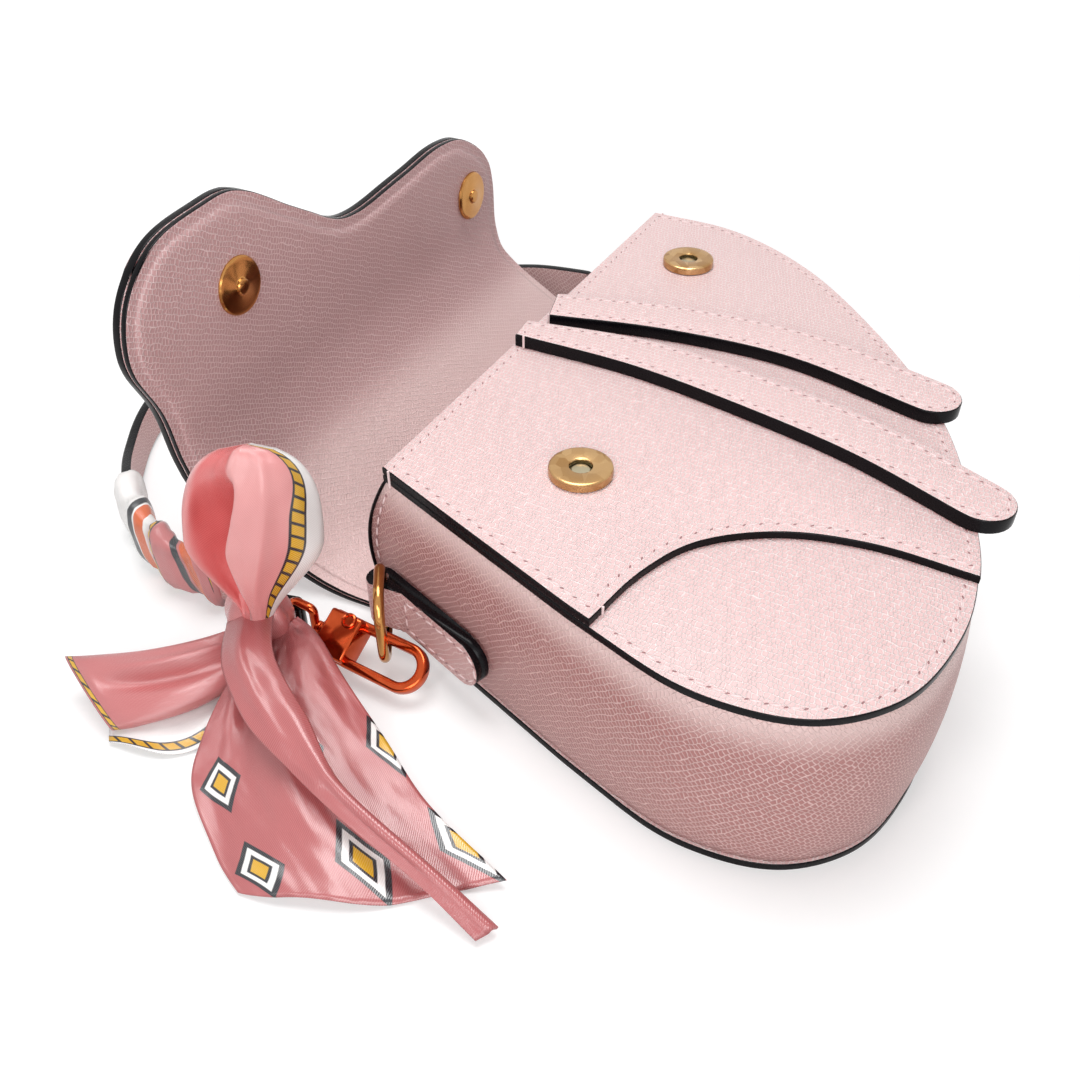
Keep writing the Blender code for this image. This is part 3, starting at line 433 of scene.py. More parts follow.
for node in ("front_panel", "front_overlay", "back_panel", "billet_strap_near", "billet_strap_far"):
    low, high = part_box(node)
    outline = smooth_rim(rim(node, UP))
    shell = piece(node + "_leather", cut_panel(outline, low[2], high[2], LIP), (LEATHER, PAINT), "purse", flat=in_plan)
    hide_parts(node)
    print(shell.name, len(shell.data.polygons), "faces")

# %% [markdown]
# ## The gusset
# A bowed band runs round the sides and the bottom. The solid already has the bow, so a merged copy of it
# with its long edges creased becomes smooth under a Subdivision Surface. Its flat map runs along the
# outline, so that the grain goes round the bag.

# %% Gusset
FRONT_MIDDLE = sum(FRONT_RIM, Vector()) / len(FRONT_RIM)
MOUTH_FROM = 76 * MM
MOUTH_LIP = 0.8 * MM
RIM_TOP = max(p.y for p in FRONT_RIM)
OUTLINE_TREE = KDTree(len(FRONT_RIM))
OUTLINE_RUN = [0.0]
for i, point in enumerate(FRONT_RIM):
    if point.y < RIM_TOP - 1.5 * MM:
        OUTLINE_TREE.insert((point.x, point.y, 0), i)
    OUTLINE_RUN.append(OUTLINE_RUN[-1] + (FRONT_RIM[(i + 1) % len(FRONT_RIM)] - point).length)
OUTLINE_TREE.balance()


def round_the_bag(place):
    """A place's distance along the outline and its height."""
    i = OUTLINE_TREE.find((place.x, place.y, 0))[1]
    way = (FRONT_RIM[(i + 1) % len(FRONT_RIM)] - FRONT_RIM[i - 1]).normalized()
    return OUTLINE_RUN[i] + (place - FRONT_RIM[i]).dot(way), place.z


WALL_LOW, WALL_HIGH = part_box("gusset")[0][2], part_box("front_panel")[0][2]
GUSSET_BULGE = 3.0 * MM
ROUNDER = 0.62


def wall_bow(z):
    """How far the wall bows at a height, as a share: first as on its solid, then rounder near its two edges."""
    plain = math.sin(math.pi * min(1.0, max(0.0, (z - WALL_LOW) / (WALL_HIGH - WALL_LOW))))
    return plain, plain ** ROUNDER


def way_out(place):
    """The way out from the bag at the nearest point of its outline."""
    i = OUTLINE_TREE.find((place.x, place.y, 0))[1]
    way = FRONT_RIM[(i + 1) % len(FRONT_RIM)] - FRONT_RIM[i - 1]
    side = Vector((way.y, -way.x, 0)).normalized()
    return side if side.dot(FRONT_RIM[i] - FRONT_MIDDLE) > 0 else -side


def merged_copy(node):
    """A copy of a solid's mesh with its corners joined and its flat stretches made whole."""
    bm = bmesh.new()
    bm.from_mesh(NODES[node].data)
    bmesh.ops.remove_doubles(bm, verts=bm.verts[:], dist=0.005 * MM)
    flat = [e for e in bm.edges if len(e.link_faces) == 2 and e.calc_face_angle() < math.radians(0.4)]
    bmesh.ops.dissolve_edges(bm, edges=flat, use_verts=False)
    bm.normal_update()
    return bm


def soften(bm, levels, crease_over):
    """A Subdivision Surface that keeps the edges which turn by more than an angle."""
    creases = bm.edges.layers.float.new("crease_edge")
    for edge in bm.edges:
        if len(edge.link_faces) == 2 and edge.calc_face_angle() > math.radians(crease_over):
            edge[creases] = 1.0
    mesh = bpy.data.meshes.new("soften")
    bm.to_mesh(mesh)
    bm.free()
    helper = bpy.data.objects.new("soften", mesh)
    bpy.context.scene.collection.objects.link(helper)
    surface = helper.modifiers.new("soften", "SUBSURF")
    surface.levels = levels
    surface.render_levels = levels
    bpy.context.view_layer.update()
    seen = helper.evaluated_get(bpy.context.evaluated_depsgraph_get())
    smooth = bmesh.new()
    smooth.from_mesh(seen.to_mesh())
    bpy.data.objects.remove(helper)
    bpy.data.meshes.remove(mesh)
    smooth.normal_update()
    return smooth


for node, finish in (("gusset", (SHADED_SIDE_LEATHER, PAINT)), ("gusset_lining", (LINING, PAINT))):
    bm = soften(merged_copy(node), 2, 40)
    for vert in bm.verts:
        plain, rounder = wall_bow(vert.co.z)
        vert.co += way_out(vert.co) * (GUSSET_BULGE * (rounder - plain))
    bm.normal_update()
    mouth = [e for e in bm.edges if e.calc_face_angle() > math.radians(40) and e.verts[0].co.y > MOUTH_FROM]
    bmesh.ops.bevel(bm, geom=mouth, offset=MOUTH_LIP, affect="EDGES", segments=3, profile=0.5, clamp_overlap=True,
                    material=-1)
    bm.normal_update()
    for f in bm.faces:
        f.material_index = int(f.normal.y > 0.58 and f.calc_center_median().y > MOUTH_FROM)
    wall = piece(node + "_wall", bm, finish, "purse", flat=round_the_bag)
    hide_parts(node)
    print(wall.name, len(wall.data.polygons), "faces")

for node in ("back_lining", "front_lining"):
    low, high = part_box(node)
    outline = smooth_rim(rim(node, UP))
    shell = piece(node + "_cloth", cut_panel(outline, low[2], high[2], 0.2 * MM), (LINING, LINING), "purse",
                  flat=in_plan)
    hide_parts(node)

# %% [markdown]
# ## The flap
# On the real bag the flap is one bent sheet of two leathers, sewn together round a padded middle. It could
# be copied from the stiff solids, but those fold along two straight lines. A grid shaped to the flap's four
# sides can be bent along one smooth profile instead.

# %% Flap profile
HINGE = Vector(JOINTS["flap_hinge"]["pos_m"])
FOLD = Vector(JOINTS["flap_fold"]["pos_m"])
FRONT_TILT = math.radians(89.5)
FRONT_WAY = Vector((0, math.cos(FRONT_TILT), math.sin(FRONT_TILT)))
FLAP_FACE = Vector((0, -math.sin(FRONT_TILT), math.cos(FRONT_TILT)))
# The inner face from the hinge upwards, as Y and Z
PROFILE = smooth_line([Vector((0, y, z)) for y, z in (
    (HINGE.y, HINGE.z), (0.0989, 0.0040), (0.1102, 0.0084), (0.1246, 0.0202), (0.1354, 0.0326), (0.1410, 0.0475),
    (0.1417, 0.0630), (0.1415, 0.0770), (0.1413, 0.0890), (0.1413, 0.1010), (0.1413, 0.1200))], 0.5 * MM)
PROFILE_RUN = [0.0]
for before, after in zip(PROFILE, PROFILE[1:]):
    PROFILE_RUN.append(PROFILE_RUN[-1] + (after - before).length)


def on_profile(run):
    """The place and the way up at a distance along the profile."""
    i = min(range(len(PROFILE) - 1), key=lambda k: abs(PROFILE_RUN[k] - run))
    way = (PROFILE[min(i + 1, len(PROFILE) - 1)] - PROFILE[max(i - 1, 0)]).normalized()
    return PROFILE[i] + way * (run - PROFILE_RUN[i]), way


def run_at_height(z):
    i = min(range(len(PROFILE)), key=lambda k: abs(PROFILE[k].z - z))
    return PROFILE_RUN[i] + (z - PROFILE[i].z)


FOLD_RUN = run_at_height(FOLD.z)
print("flap length to the fold: %.1f mm" % (FOLD_RUN / MM))

# %% Flap sides, unrolled
lobe_rim = rim("flap_front_lining", FLAP_FACE)
lobes = [Vector((p.x, FOLD_RUN + (p - FOLD).dot(FRONT_WAY), 0)) for p in lobe_rim]
start = max(range(len(lobes)), key=lambda i: (lobes[i] - lobes[i - 1]).length)
lobes = lobes[start:] + lobes[:start]
if lobes[0].x > lobes[-1].x:
    lobes.reverse()
NEAR_X = min(p.x for p in FRONT_RIM if p.y > max(q.y for q in FRONT_RIM) - 0.1 * MM)
FAR_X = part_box("back_panel")[1][0]
SIDE_SHARES = [k / 8 for k in range(8)]
near_side = [Vector((NEAR_X + (lobes[0].x - NEAR_X) * s ** 2, FOLD_RUN * s, 0)) for s in SIDE_SHARES]
far_side = [Vector((FAR_X + (lobes[-1].x - FAR_X) * s ** 2, FOLD_RUN * s, 0)) for s in SIDE_SHARES]
near_turn = max(range(len(lobes)), key=lambda i: lobes[i].y - lobes[i].x)
far_turn = max(range(len(lobes)), key=lambda i: lobes[i].y + lobes[i].x)


def evenly(points, count, crowd=1.0):
    """The same line with count + 1 points, closer together towards its end if crowd is over 1."""
    line = smooth_line(points, 0.8 * MM)
    run = [0.0]
    for a, b in zip(line, line[1:]):
        run.append(run[-1] + (b - a).length)
    found, i = [], 0
    for k in range(count + 1):
        wanted = run[-1] * (1 - (1 - k / count) ** crowd)
        while i < len(run) - 2 and run[i + 1] < wanted:
            i += 1
        found.append(line[i].lerp(line[i + 1], (wanted - run[i]) / (run[i + 1] - run[i])))
    return found


COLUMNS, ROWS, ROW_EASE = 96, 64, 1.25
sides = {
    "near": evenly(near_side + lobes[:near_turn + 1], ROWS, ROW_EASE),
    "far": evenly(far_side + lobes[:far_turn - 1:-1], ROWS, ROW_EASE),
    "base": evenly([near_side[0], (near_side[0] + far_side[0]) / 2, far_side[0]], COLUMNS),
    "lobes": evenly(lobes[near_turn:far_turn + 1], COLUMNS),
}
flap_edge = KDTree(2 * (ROWS + COLUMNS + 2) * 2)
for name in ("near", "far", "lobes"):
    for a, b in zip(sides[name], sides[name][1:]):
        flap_edge.insert(a, 0)
        flap_edge.insert((a + b) / 2, 0)
flap_edge.balance()
print("flap sides:", {name: len(line) for name, line in sides.items()})

# %% Flap layers
LINING_DEPTH = (0.0, 1.9 * MM)
OUTER_DEPTH = (2.2 * MM, 4.9 * MM)
THIN_BASE = 0.55
THIN_RUN = 35 * MM
PAD_RISE = 0.8 * MM
PAD_START, PAD_END = 3.0 * MM, 5.5 * MM
SPLIT_ROW = 18
FLAP_LIP = 0.5 * MM


def ease(value, low, high):
    share = min(1.0, max(0.0, (value - low) / (high - low)))
    return share * share * (3 - 2 * share)


def patch_point(i, j):
    """A point inside the four sides, with all of them drawn evenly into the middle."""
    u, v = i / COLUMNS, 1 - (1 - j / ROWS) ** ROW_EASE
    across = sides["near"][j].lerp(sides["far"][j], u)
    along = sides["base"][i].lerp(sides["lobes"][i], v)
    corners = sides["base"][0].lerp(sides["base"][-1], u).lerp(sides["lobes"][0].lerp(sides["lobes"][-1], u), v)
    return across + along - corners


def flap_layer(first, last, depth, padded):
    """Some rows of one leather of the flap: a grid bent along the profile and given its thickness."""
    bm = bmesh.new()
    bmesh.ops.create_grid(bm, x_segments=COLUMNS, y_segments=last - first, size=0.5)
    through = bm.verts.layers.float_vector.new("through")
    seam = bm.verts.layers.int.new("seam")
    grain, border = (bm.loops.layers.uv.new(name) for name in ("grain", "border"))
    for vert in bm.verts:
        i = round((vert.co.x + 0.5) * COLUMNS)
        j = first + round((vert.co.y + 0.5) * (last - first))
        flat = patch_point(i, j)
        place, way = on_profile(flat.y)
        outward = Vector((0, way.z, -way.y))
        edge = flap_edge.find(flat)[2]
        thin = THIN_BASE + (1 - THIN_BASE) * ease(flat.y, 0, THIN_RUN)
        rise = PAD_RISE * ease(edge, PAD_START, PAD_END) * ease(flat.y, 0, THIN_RUN) if padded else 0.0
        vert.co = Vector((flat.x, 0, 0)) + place + outward * (depth[0] * thin - rise)
        vert[through] = outward * ((depth[1] - depth[0]) * thin + rise)
        vert[seam] = int(j == SPLIT_ROW)
        for loop in vert.link_loops:
            loop[grain].uv = (flat.x, flat.y)
            loop[border].uv = (edge, 0)
    inner = set(bm.verts)
    made = bmesh.ops.extrude_face_region(bm, geom=bm.faces[:], use_keep_orig=True)["geom"]
    outer = {g for g in made if isinstance(g, bmesh.types.BMVert)}
    for vert in outer:
        vert.co += vert[through]
    bmesh.ops.recalc_face_normals(bm, faces=bm.faces[:])
    walls = [f for f in bm.faces if not set(f.verts) <= inner and not set(f.verts) <= outer]
    walls = [f for f in walls if not all(v[seam] for v in f.verts)]
    for wall in walls:
        wall.material_index = 1
    lips = {e for f in walls for e in f.edges if {v in inner for v in e.verts} != {True, False}}
    bmesh.ops.bevel(bm, geom=list(lips), offset=FLAP_LIP, affect="EDGES", segments=3, profile=0.5, material=-1)
    return bm


# Painted shade and light: the flap's lining is the front's leather written darker, and paler on its lower part towards
# the hinge where more light falls.
SHADED_FLAP_LEATHER = leather("shaded_flap_leather", linear("#F9DEDD"), linear("#D0A1A1"), math.radians(28), welt=True,
                       painted_light_from=(66 * MM, 44 * MM), painted_light_share=0.6)
HINGE_END = on_profile(14 * MM)[0]
FOLD_START, FOLD_END = on_profile(FOLD_RUN - 14 * MM)[0], on_profile(FOLD_RUN + 14 * MM)[0]
for layer, depth, padded, finish in (("lining", LINING_DEPTH, True, SHADED_FLAP_LEATHER),
                                     ("outer", OUTER_DEPTH, False, LEATHER)):
    root = piece(f"flap_root_{layer}_leather", flap_layer(0, SPLIT_ROW, depth, padded), (finish, PAINT))
    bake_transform(root)
    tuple(HINGE_END)
    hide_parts(f"flap_root_{layer}")
    front = piece(f"flap_front_{layer}_leather", flap_layer(SPLIT_ROW, ROWS, depth, padded), (finish, PAINT))
    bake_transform(front)
    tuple(FOLD_START)
    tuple(FOLD_END)
    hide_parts(f"flap_front_{layer}")
    print("flap", layer, len(root.data.polygons) + len(front.data.polygons), "faces")

# %% [markdown]
# ## Polished metal
# The snaps, rings and hooks are plated and polished. Their colour comes from what they mirror, so the base
# colour is deep, and a fine unevenness breaks up the reflections.

# %% Metal finishes


def metal(name, light, deep, roughness, painted_facet=None):
    """Plated metal. Facets are painted reflections: patches that mirror a little more or less, lighter and darker in
    colour.
    """
    finish = Finish(name, Metallic=1.0)
    place = finish.place()
    wave = finish.noise(place, 220.0, 2.0)
    scratch = finish.noise(finish.turn(place, 0.6, (1, 12, 1)), 900.0, 2.0)
    share = wave
    # Painted reflection: facet patches of lighter and darker colour.
    if painted_facet:
        share = finish.make("ShaderNodeTexVoronoi", {}, {"Vector": place, "Scale": 1 / painted_facet}, "Color")
    colour = finish.mix(share, light, deep)
    return finish.link(Base_Color=colour, Roughness=roughness + scratch * 0.1, Normal=finish.bump(wave, 0.03 * MM))


GOLD = metal("rose_gold_plate", linear("#C8955A"), linear("#AC743C"), 0.10)
SNAP_GOLD = metal("snap_gold_plate", linear("#CDA878"), linear("#A07646"), 0.20, painted_facet=3.4 * MM)
STEEL = metal("snap_steel", linear("#B9AF94"), linear("#A79C80"), 0.25)
print("metals:", GOLD.name, SNAP_GOLD.name)

# %% [markdown]
# ## Magnetic snaps
# A snap's cover, core and stud are turned parts. Spinning half a section round its axis makes the cover and the stud,
# with the small bevels that catch the light. The section starts and ends on the axis or closes on itself.

# %% Snaps
SPIN_STEPS = 72


def spun(profile, place, axis, ring=False):
    """A turned part from (radius, height) points, set on a place with its axis along a direction."""
    bm = bmesh.new()
    verts = [bm.verts.new((r * MM, 0, h * MM)) for r, h in profile]
    edges = [bm.edges.new(pair) for pair in zip(verts, verts[1:])]
    if ring:
        edges.append(bm.edges.new((verts[-1], verts[0])))
    bmesh.ops.spin(bm, geom=verts + edges, cent=(0, 0, 0), axis=(0, 0, 1), angle=2 * math.pi,
                   steps=SPIN_STEPS, use_merge=True)
    bmesh.ops.remove_doubles(bm, verts=bm.verts[:], dist=0.001 * MM)
    bmesh.ops.recalc_face_normals(bm, faces=bm.faces[:])
    turn = Vector((0, 0, 1)).rotation_difference(Vector(axis)).to_matrix().to_4x4()
    bmesh.ops.transform(bm, matrix=Matrix.Translation(place) @ turn, verts=bm.verts[:])
    return bm


SOCKET = [(3.2, 2.1), (3.35, 2.35), (3.75, 2.5), (8.1, 2.5), (8.6, 2.4), (8.9, 2.15), (9.0, 1.7), (9.0, 0.0),
          (8.4, 0.0), (8.4, 1.9), (3.2, 1.9)]
STUD = [(0.0, 2.6), (1.3, 2.6), (2.1, 2.45), (2.4, 2.1), (2.5, 1.55), (2.9, 1.4), (7.4, 1.4), (8.5, 1.2), (8.9, 0.8),
        (9.0, 0.3), (8.8, 0.0), (1.4, 0.0), (1.4, -2.8), (0.0, -2.8)]
for side in SIDES:
    low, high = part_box(f"snap_socket_{side}")
    middle = Vector(((low[0] + high[0]) / 2, (low[1] + high[1]) / 2, low[2]))
    cover = piece(f"snap_cover_{side}", spun(SOCKET, middle, UP, ring=True), (SNAP_GOLD,), "purse", sharp=30)
    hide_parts(f"snap_socket_{side}")
    NODES[f"snap_core_{side}"].data.materials.clear()
    NODES[f"snap_core_{side}"].data.materials.append(STEEL)
    low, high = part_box(f"flap_stud_{side}")
    washer_low, washer_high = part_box(f"stud_washer_{side}")
    foot = Vector(((low[0] + high[0]) / 2, 0, (low[2] + high[2]) / 2))
    foot.y = FOLD.y + (foot.z - FOLD.z) * math.cos(FRONT_TILT)
    stud = piece(f"flap_stud_{side}_turned", spun(STUD, foot + FLAP_FACE * 0.35 * MM, FLAP_FACE), (GOLD,),
                 "flap_front", sharp=30)
    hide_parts(f"flap_stud_{side}")
print("snaps:", len(SOCKET), "and", len(STUD), "points in the sections")

# %% [markdown]
# ## The carrying strap
# The strap is about 0.8 m of flat leather. It leaves the near hook, stands on its edge along the floor and
# passes behind the flap, where the length that is not needed lies folded in lanes. Its far end goes back
# to the other hook. It repeats the route of its solid, because a strap lies where its solid lies.

# %% Strap route
STRAP_WIDTH = 14 * MM
STRAP_THICKNESS = 3.4 * MM
STRAP_START = 65.85 * MM
STRAP_FLOOR = STRAP_WIDTH / 2 + 0.3 * MM
LANE_COUNT = 5
LANE_PITCH = 16 * MM
LANE_LENGTH = 96 * MM
LANE_START = (101.5 * MM, 108.7 * MM)
# Offsets in plan from the strap's near and far starts, with the height above the floor
STRAP_NEAR = [
    (-0.0010, 0.0107, 0.0116), (-0.0010, 0.0287, 0.0116), (0.0055, 0.0477, 0.0116), (0.0175, 0.0657, 0.0112),
    (0.0365, 0.0837, 0.0078), (0.0625, 0.0987, 0.0075),
]
STRAP_FAR = [(-0.0156, 0.0429, 0.0075), (-0.0036, 0.0254, 0.0078)]


def hook_line(side):
    """A hook's tip and the level way from there to the strap."""
    swivel = JOINTS[f"hook_swivel_{side}"]
    return Vector(swivel["pos_m"]), Vector(swivel["axis"]).normalized()


def strap_start(side):
    tip, way = hook_line(side)
    return tip + way * STRAP_START


def beside(start, shift):
    return Vector((start.x + shift[0], start.y + shift[1], shift[2]))


lanes = []
for lane in range(LANE_COUNT):
    y = LANE_START[1] - lane * LANE_PITCH
    ends = (0, LANE_LENGTH) if lane % 2 == 0 else (LANE_LENGTH, 0)
    lanes += [(LANE_START[0] + ends[0] + (ends[1] - ends[0]) * k / 4, y, STRAP_FLOOR) for k in range(5)]
    if lane < LANE_COUNT - 1:
        bend = math.copysign(LANE_PITCH / 2, ends[1] - ends[0])
        for turn in (math.radians(60), math.radians(120)):
            drop = LANE_PITCH / 2 * (1 - math.cos(turn))
            lanes.append((LANE_START[0] + ends[1] + bend * math.sin(turn), y - drop, STRAP_FLOOR))
near_start, far_start = strap_start("near"), strap_start("far")
near_way, far_way = hook_line("near")[1], hook_line("far")[1]
lead = STRAP_WIDTH / 4
strap_points = ([near_start, near_start + near_way * lead] + [beside(near_start, p) for p in STRAP_NEAR + lanes]
                + [beside(far_start, p) for p in STRAP_FAR] + [far_start + far_way * lead, far_start])
strap_route = smooth_line(strap_points, 2.0 * MM)
strap_length = sum((b - a).length for a, b in zip(strap_route, strap_route[1:]))
print("strap: %.3f m in %d points" % (strap_length, len(strap_route)))

# %% Strap
STRAP_LIP = 0.7 * MM


def strap_ways(route):
    last = len(route) - 1
    return [(route[min(i + 1, last)] - route[max(i - 1, 0)]).normalized() for i in range(last + 1)]


def swept(route, section, closed=False):
    """A section of (across, up) points carried along a level route, with its ends filled."""
    bm = bmesh.new()
    run = bm.verts.layers.float.new("run")
    ways = strap_ways(route)
    length, edges, order = 0.0, None, []
    for k, (place, way) in enumerate(zip(route, ways)):
        length += (place - route[k - 1]).length if k else 0.0
        across = Vector((way.y, -way.x, 0)).normalized()
        up = across.cross(way)
        if k == 0:
            order = [bm.verts.new((0, 0, 0)) for _ in section]
            edges = [bm.edges.new(pair) for pair in zip(order, order[1:] + order[:1])]
        else:
            made = bmesh.ops.extrude_edge_only(bm, edges=edges)["geom"]
            fresh = {g for g in made if isinstance(g, bmesh.types.BMVert)}
            edges = [g for g in made if isinstance(g, bmesh.types.BMEdge) and set(g.verts) <= fresh]
            twin = {e.other_vert(v): v for v in fresh for e in v.link_edges if e.other_vert(v) not in fresh}
            order = [twin[v] for v in order]
        for vert, (a, u) in zip(order, section):
            vert.co = place + across * a + up * u
            vert[run] = length
    bmesh.ops.holes_fill(bm, edges=[e for e in bm.edges if e.is_boundary])
    bmesh.ops.recalc_face_normals(bm, faces=bm.faces[:])
    grain = bm.loops.layers.uv.new("grain")
    for face in bm.faces:
        for loop in face.loops:
            loop[grain].uv = (loop.vert[run], loop.vert.co.z)
    return bm


def round_box(wide, tall, lip, steps=3):
    """A rectangle's outline with round corners."""
    turns = [math.radians(90 * k / steps) for k in range(steps + 1)]
    outline = []
    for quarter, (sx, sy) in enumerate(((1, 1), (-1, 1), (-1, -1), (1, -1))):
        centre = (sx * (wide / 2 - lip), sy * (tall / 2 - lip))
        outline += [(centre[0] + lip * math.cos(t + quarter * math.pi / 2),
                     centre[1] + lip * math.sin(t + quarter * math.pi / 2)) for t in turns]
    return outline


bm = swept(strap_route, round_box(STRAP_THICKNESS, STRAP_WIDTH, STRAP_LIP))
for f in bm.faces:
    f.material_index = int(abs(f.normal.z) > 0.6)
strap = piece("strap_leather", bm, (STRAP_LEATHER, PAINT), "purse")
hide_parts("strap")
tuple(near_start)
print("strap faces:", len(strap.data.polygons))

# %% [markdown]
# ## Side tabs, rings and swivel hooks
# Each side has a folded leather tab, a ring in the tab's eye, and a swivel hook on the ring. A hook is easiest
# to shape in its own frame, with its tip at the origin and the strap up the Y axis. The frame follows from
# the swivel joint: its place is the tip and its axis points to the strap.

# %% Hook frames
HANDS = {"near": 1, "far": -1}
HOOK_ROLL = math.radians(30)
UPRIGHT = Vector(UP)


def axes_frame(place, x, y):
    x, y = x.normalized(), y.normalized()
    return Matrix.Translation(place) @ Matrix((x, y, x.cross(y))).transposed().to_4x4()


def hook_frame(side, roll=HOOK_ROLL):
    """The hook's frame, rolled about its length as it lies, or level for the swivel eye."""
    tip, way = hook_line(side)
    level = way.cross(UPRIGHT)
    return axes_frame(tip, level * math.cos(roll) + UPRIGHT * math.sin(roll) * HANDS[side], way)


def arc_points(centre, radius, start, end, steps):
    turns = [math.radians(start + (end - start) * k / steps) for k in range(steps + 1)]
    return [Vector((centre[0] + radius * math.cos(t), centre[1] + radius * math.sin(t), 0)) for t in turns]


def joined(parts):
    """One bmesh from several."""
    whole = bmesh.new()
    for part in parts:
        mesh = bpy.data.meshes.new("part")
        part.to_mesh(mesh)
        part.free()
        whole.from_mesh(mesh)
        bpy.data.meshes.remove(mesh)
    return whole


def soft_block(low, high, lip, segments=3):
    """A box with round edges."""
    bm = bmesh.new()
    size = [b - a for a, b in zip(low, high)]
    middle = [(a + b) / 2 for a, b in zip(low, high)]
    bmesh.ops.create_cube(bm, size=1.0, matrix=Matrix.Translation(middle) @ Matrix.Diagonal((*size, 1)))
    bmesh.ops.bevel(bm, geom=bm.edges[:], offset=lip, affect="EDGES", segments=segments, profile=0.5, material=-1)
    return bm


print("hook tips:", {side: tuple(round(c / MM, 1) for c in hook_line(side)[0]) for side in SIDES})

# %% Hook bodies
HOOK_HALF = 7.5 * MM
HOOK_WALL = 3.1 * MM
HOOK_PLATE = 4.0 * MM
GATE_X = HOOK_HALF - HOOK_WALL / 2
BODY_START = 24.45 * MM
BODY_END = 35.95 * MM
PIVOT_Y = 27.15 * MM
GATE_END = 17.15 * MM
BODY_HALF = 7.0 * MM
BODY_RISE = 4.5 * MM
COPPER = metal("copper_plate", linear("#DC643A"), linear("#A83C1A"), 0.09)


def hook_ring(hand):
    """The open ring: a rounded bar from the casing round the tip to the gate's end."""
    turn = arc_points((0, HOOK_HALF), GATE_X, 180, 360, 28)
    route = [Vector((-GATE_X, BODY_START + 1.0 * MM, 0)), Vector((-GATE_X, 16 * MM, 0))] + turn
    route += [Vector((GATE_X, 12 * MM, 0)), Vector((GATE_X, GATE_END - 0.4 * MM, 0))]
    route = [Vector((p.x * hand, p.y, 0)) for p in route]
    return swept(route, round_box(HOOK_WALL, HOOK_PLATE, 0.9 * MM))


def hook_casing(hand):
    """The casing with two ridges on the gate's side, three square bosses on the other, and a collar."""
    parts = [soft_block((-BODY_HALF, BODY_START, -BODY_RISE), (BODY_HALF, BODY_END, BODY_RISE), 0.9 * MM)]
    for height in (-1.6 * MM, 1.6 * MM):
        x = hand * (BODY_HALF - 0.3 * MM)
        parts.append(soft_block((x - 0.7 * MM, BODY_START + 1.0 * MM, height - 0.8 * MM),
                                (x + 0.7 * MM, BODY_END - 1.0 * MM, height + 0.8 * MM), 0.5 * MM))
    for k in range(3):
        y = BODY_START + (2.3 + 3.4 * k) * MM
        x = -hand * (BODY_HALF - 0.4 * MM)
        parts.append(soft_block((x - 0.7 * MM, y, -3.0 * MM), (x + 0.7 * MM, y + 2.6 * MM, 0.2 * MM), 0.35 * MM))
    collar = [(0.0, 0.0), (2.9, 0.0), (3.2, 0.3), (3.2, 1.3), (2.5, 1.9), (2.0, 2.6), (0.0, 2.6)]
    parts.append(spun(collar, Vector((0, BODY_END - 0.2 * MM, 0)), (0, 1, 0)))
    return parts


def dressed(name, bm, frame, material, body, node, sharp=32):
    """A metal piece shaped in a frame of its own, which stands for one solid."""
    bmesh.ops.transform(bm, matrix=frame, verts=bm.verts[:])
    bmesh.ops.recalc_face_normals(bm, faces=bm.faces[:])
    thing = piece(name, bm, (material,), body, sharp=sharp)
    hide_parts(node)
    return thing


SCREW = [(0.0, 0.35), (1.35, 0.35), (1.6, 0.9), (1.9, 1.15), (2.25, 0.95), (2.4, 0.5), (2.4, 0.0), (0.9, 0.0),
         (0.9, -8.0), (0.0, -8.0)]
for side in SIDES:
    hand, frame = HANDS[side], hook_frame(side)
    body = dressed(f"hook_{side}_casing", joined([hook_ring(hand)] + hook_casing(hand)), frame, COPPER,
                   f"hook_{side}", f"hook_body_{side}")
    route = [Vector((hand * GATE_X, y, 0)) for y in (GATE_END, GATE_END + 3 * MM, PIVOT_Y - 2 * MM, PIVOT_Y + 1 * MM)]
    dressed(f"hook_{side}_gate", swept(route, round_box(HOOK_WALL, 3.0 * MM, 0.8 * MM)), frame, COPPER,
            f"hook_gate_{side}", f"hook_gate_{side}")
    head = Vector((hand * GATE_X - hand * 0.9 * MM, PIVOT_Y + 1.2 * MM, BODY_RISE - 0.1 * MM))
    dressed(f"hook_{side}_screw", spun(SCREW, head, UP), frame, COPPER, f"hook_{side}", f"hook_screw_{side}")
    print(body.name, len(body.data.polygons), "faces")

# %% [markdown]
# The D-ring and the swivel eye are bent from round wire. A bent wire is a closed path with a circle carried
# along it, so it has no facets. The eye also has the post that turns in the casing.

# %% Rings and swivel eyes
RING_WIRE = 3.2 * MM
RING_HALF = 12.5 * MM
RING_REACH = 17.4 * MM
EYE_WIRE = 2.8 * MM
EYE_START = 38.95 * MM
EYE_HALF = 6.9 * MM
EYE_REACH = 9.2 * MM


def d_path(reach, half, corner, inner):
    """A closed D in its own plane, with its straight bar on X = 0."""
    return (arc_points((inner, inner - half), inner, 180, 270, 6)
            + arc_points((reach - corner, corner - half), corner, 270, 360, 12)
            + arc_points((reach - corner, half - corner), corner, 0, 90, 12)
            + arc_points((inner, half - inner), inner, 90, 180, 6))


